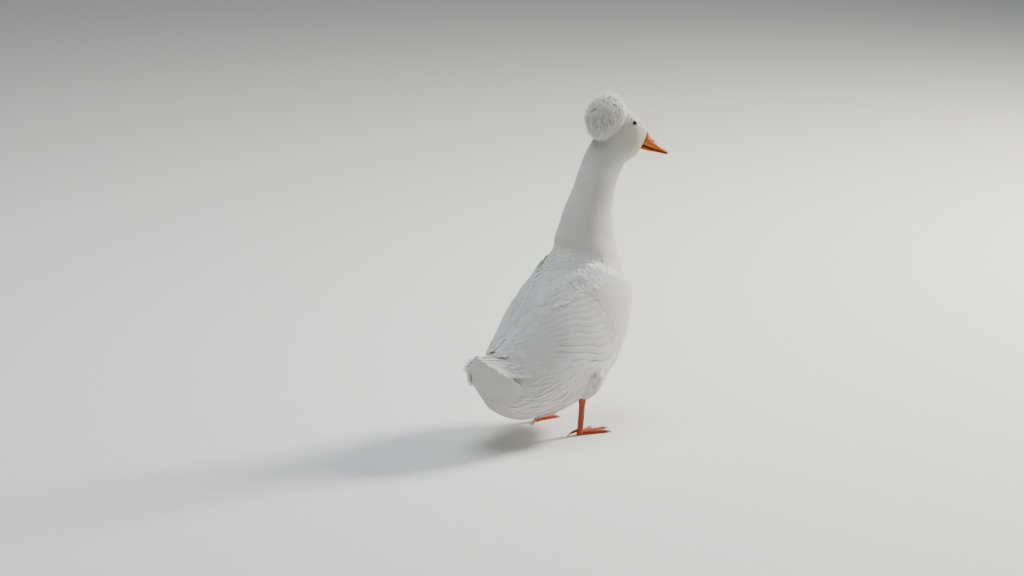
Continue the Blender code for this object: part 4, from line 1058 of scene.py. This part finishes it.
# Eyes. Glossy dark brown globes set in the sides of the head, each in a thin swollen ring of bare
# pale skin, the lids, which closes over its edge; tiny feathers cover the lids up to their rim.
IRIS, PUPIL = (0.80, (0.045, 0.020, 0.010)), (0.84, (0.003, 0.003, 0.003))
LID_OPEN, LID_RADIUS = (4.8, 4.1), 6.4
LID_REACH = math.radians(105)
LID_TURNS = 72
LID_SKIN, LID_DARK = (0.72, 0.69, 0.62), (0.10, 0.07, 0.055)
RIM_OUT, RIM_REACH = 4.6, (0.0047, 0.0056)
# The lid's profile: how far round from its opening toward its root, and its radius in mm.
LID_PROFILE = (
    (1.0, 6.22), (0.2, 6.25), (0.0, 6.3), (-0.03, 6.45), (0.02, 6.65), (0.12, 6.72), (0.4, 6.6), (1.0, 6.4),
)
FRINGE_ROWS, FRINGE_COUNT = (0.10, 0.20, 0.31, 0.43), 44
FRINGE_LONG, FRINGE_WIDE, FRINGE_THICK = 0.27, 1.2, 0.1
FRINGE_RADIUS, FRINGE_RISE = 6.62, 0.28
EYE_TURN, EYE_TILT = math.radians(22), 0.12
eye_finish, tree, shader = new_finish("eye_glass")
iris_uv = made_by(tree, "UVMap", "UV", {}, uv_map="UVMap")
from_pole = made_by(tree, "SeparateXYZ", "Y", {"Vector": iris_uv})
plug(tree, shader, {
    "Base Color": ramp(tree, from_pole, IRIS, PUPIL), "Roughness": 0.15, "Specular IOR Level": 0.25,
    "Coat Weight": 0.2, "Coat Roughness": 0.02,
})


def on_lid(axes, turns, share, radius):
    """Places round an eye at shares of the way from the lids' opening to their root."""
    centre, look, level, rise = axes
    opening = 1 / np.sqrt((np.cos(turns) / LID_OPEN[0]) ** 2 + (np.sin(turns) / LID_OPEN[1]) ** 2)
    opening = np.arcsin(opening / LID_RADIUS)
    polar = opening + share * (LID_REACH - opening)
    around = np.cos(turns)[..., None] * level + np.sin(turns)[..., None] * rise
    out = np.cos(polar)[..., None] * look + np.sin(polar)[..., None] * around
    return centre + out * (radius * MM)[..., None]


for side, word in SIDES:
    centre = stand(EYE_FORWARD, side * EYE_OUT, EYE_UP)
    look = unit(stand(math.sin(EYE_TURN), side * math.cos(EYE_TURN), EYE_TILT) - stand(0.0, 0.0, 0.0))
    level = stand(1.0, 0.0, 0.0) - stand(0.0, 0.0, 0.0)
    level = unit(level - look * (level @ look))
    axes = (centre, look, level, np.cross(look, level))
    eye = ball("eye_globe_" + word, 40, 24, EYE_RADIUS * MM, Vector(centre))
    eye.rotation_mode = "QUATERNION"
    eye.rotation_quaternion = Vector(look).to_track_quat("Z", "Y")
    bpy.ops.object.transform_apply(location=True, rotation=True, scale=True)
    dress(eye, eye_finish, "eye", "eye_" + word)
    turns = np.arange(LID_TURNS) * 2 * np.pi / LID_TURNS
    share, radius = np.array(LID_PROFILE).T
    points = on_lid(axes, turns[:, None], share, radius)
    steps = len(share)
    i, j = np.meshgrid(np.arange(LID_TURNS), np.arange(steps), indexing="ij")
    ahead, after = (i + 1) % LID_TURNS * steps, (j + 1) % steps
    quads = np.stack([i * steps + j, i * steps + after, ahead + after, ahead + j], -1).reshape(-1)
    lid = mesh_of("lids_" + word, points.reshape(-1, 3), quads, [4] * (LID_TURNS * steps))
    reworked(lid, bmesh.ops.recalc_face_normals, "faces")
    rim = tuple(centre + look * RIM_OUT * MM)
    lid_finish = horn_finish("lid_skin_" + word, LID_SKIN, LID_DARK, rim, RIM_REACH, 0.6, 1500, 0.5)
    dress(lid, lid_finish, "plumage")
    rows = []
    for row, from_rim in enumerate(FRINGE_ROWS):
        turns = ((np.arange(FRINGE_COUNT) + 0.5 * (row % 2)) * 2 * np.pi / FRINGE_COUNT)[:, None]
        turns = turns + 0.03 * normal_draw((FRINGE_COUNT, 1))
        share = from_rim + FRINGE_LONG * (1 + 0.1 * normal_draw((FRINGE_COUNT, 1))) * TUFT_STEPS
        centres = on_lid(axes, turns, share, FRINGE_RADIUS + FRINGE_RISE * TUFT_STEPS)
        rows.append(tufts("lid_row", centres, unit(centres - centre), FRINGE_WIDE, FRINGE_THICK, TUFT_CUP))
    dress(joined("lid_feathers_" + word, rows), coat_finish, "plumage")

# Legs. Red-orange skin, in overlapping plates down the front of each shank and along the toes and
# in small scales elsewhere, over webbed feet with a short hind toe; the claws are dull horn.
LEG_RED, LEG_DARK = (0.36, 0.055, 0.012), (0.21, 0.03, 0.01)
CLAW_HORN, CLAW_DARK = (0.46, 0.34, 0.22), (0.2, 0.13, 0.08)
leg_finish = horn_finish("leg_scales", LEG_RED, LEG_DARK, (0, 0, 0.04), (0.0, 0.06), 0.5, 620, 0.7)
claw_finish = horn_finish("claw_horn", CLAW_HORN, CLAW_DARK, (0, 0, 0), (0.0, 0.06), 0.4, 900, 0.2)
LEG_VOXEL = 0.0007
STANCE, HOCK, ANKLE = 55, (-8, 74), (-14, 11)
TOE_OUT, TOE_LEVEL = 8, 2.0
TOES = (("inner", -25, 41), ("middle", 0, 56), ("outer", 22, 52))
TOE_ROOT, TOE_PLATE, TOE_PLATES_WIDE, TOE_CUP = 0.12, 3.6, (6.4, 5.2, 4.0), 0.3
# Columns of plates on the shank: the turn from its front in degrees, and the width in mm.
SHANK_COLUMNS = ((0, 7.6), (-62, 5.4), (62, 5.4))
SHANK_PLATES, SHANK_CUP = 15, 0.34
PLATE_STEPS = np.array((0.0, 0.35, 0.75, 1.0))
PLATE_OUTLINE = np.array((0.85, 1.0, 0.95, 0.66))
PLATE_THICK, PLATE_OVERLAP, PLATE_RISE = 0.35, 1.45, (0.05, 0.45)
CLAW_GROWN = 1.16


def plates(surface, start, end, out, count, wide, cup):
    """A row of overlapping plates along a limb, on the side of it that faces a given way."""
    share = (np.arange(count)[:, None] + PLATE_OVERLAP * PLATE_STEPS) / (count + PLATE_OVERLAP - 1)
    centres = start + (end - start) * share[..., None]
    for k in np.ndindex(share.shape):
        hit = surface.ray_cast(Vector(centres[k] + out * 0.02), Vector(-out))[0]
        centres[k] = hit if hit is not None else centres[k]
    centres += out * ((PLATE_RISE[0] + PLATE_RISE[1] * PLATE_STEPS) * MM)[:, None]
    widths = np.interp(np.arange(count) / count, np.linspace(0, 1, len(wide)), wide)
    halves, normals = half_widths(widths, PLATE_OUTLINE), np.broadcast_to(out, centres.shape)
    no_uv = np.zeros((count, 2))
    return blades("plates", centres, normals, halves, PLATE_THICK * MM, SOFT_SECTION, cup, no_uv)


for side, word in SIDES:
    limb = joined("leg_" + word, [node_copy("shank_" + word), node_copy("foot_" + word)])
    apply_step(limb, "REMESH", mode="VOXEL", voxel_size=LEG_VOXEL, use_smooth_shade=True)
    apply_step(limb, "SMOOTH", factor=0.5, iterations=10)
    surface = BVHTree.FromObject(limb, bpy.context.evaluated_depsgraph_get())
    hock, ankle = (stand(forward, side * STANCE, up, 0.0) for forward, up in (HOCK, ANKLE))
    rows = []
    for turn, wide in SHANK_COLUMNS:
        turn = math.radians(turn + side * TOE_OUT)
        front = unit(np.array((math.sin(turn), -math.cos(turn), 0.08)))
        rows.append(plates(surface, hock, ankle, front, SHANK_PLATES, (wide + 0.8, wide), SHANK_CUP))
    up = np.array((0.0, 0.0, 1.0))
    for _, angle, length in TOES:
        away = math.radians(angle + TOE_OUT)
        reach = np.array((TOE_ROOT, 1.0)) * length
        toe_left = side * (STANCE + reach * math.sin(away))
        ends = stand(ANKLE[0] + reach * math.cos(away), toe_left, TOE_LEVEL, 0.0)
        rows.append(plates(surface, *ends, up, int(length / TOE_PLATE), TOE_PLATES_WIDE, TOE_CUP))
    dress(limb, leg_finish, "leg_skin", "shank_" + word, "foot_" + word)
    dress(joined("scutes_" + word, rows), leg_finish, "leg_skin")
    for toe in ("inner", "middle", "outer", "hind"):
        claw = node_copy(f"claw_{toe}_{word}")
        places = read(claw.data.vertices, "co", 3)
        tip = places[np.argmax(np.linalg.norm((places - ankle)[:, :2], axis=1))]
        write_points(claw, tip + (places - tip) * CLAW_GROWN)
        apply_step(claw, "SUBSURF", levels=2, render_levels=2)
        claw.name = f"horn_claw_{toe}_{word}"
        claw.data.shade_smooth()
        dress(claw, claw_finish, "claw", f"claw_{toe}_{word}")
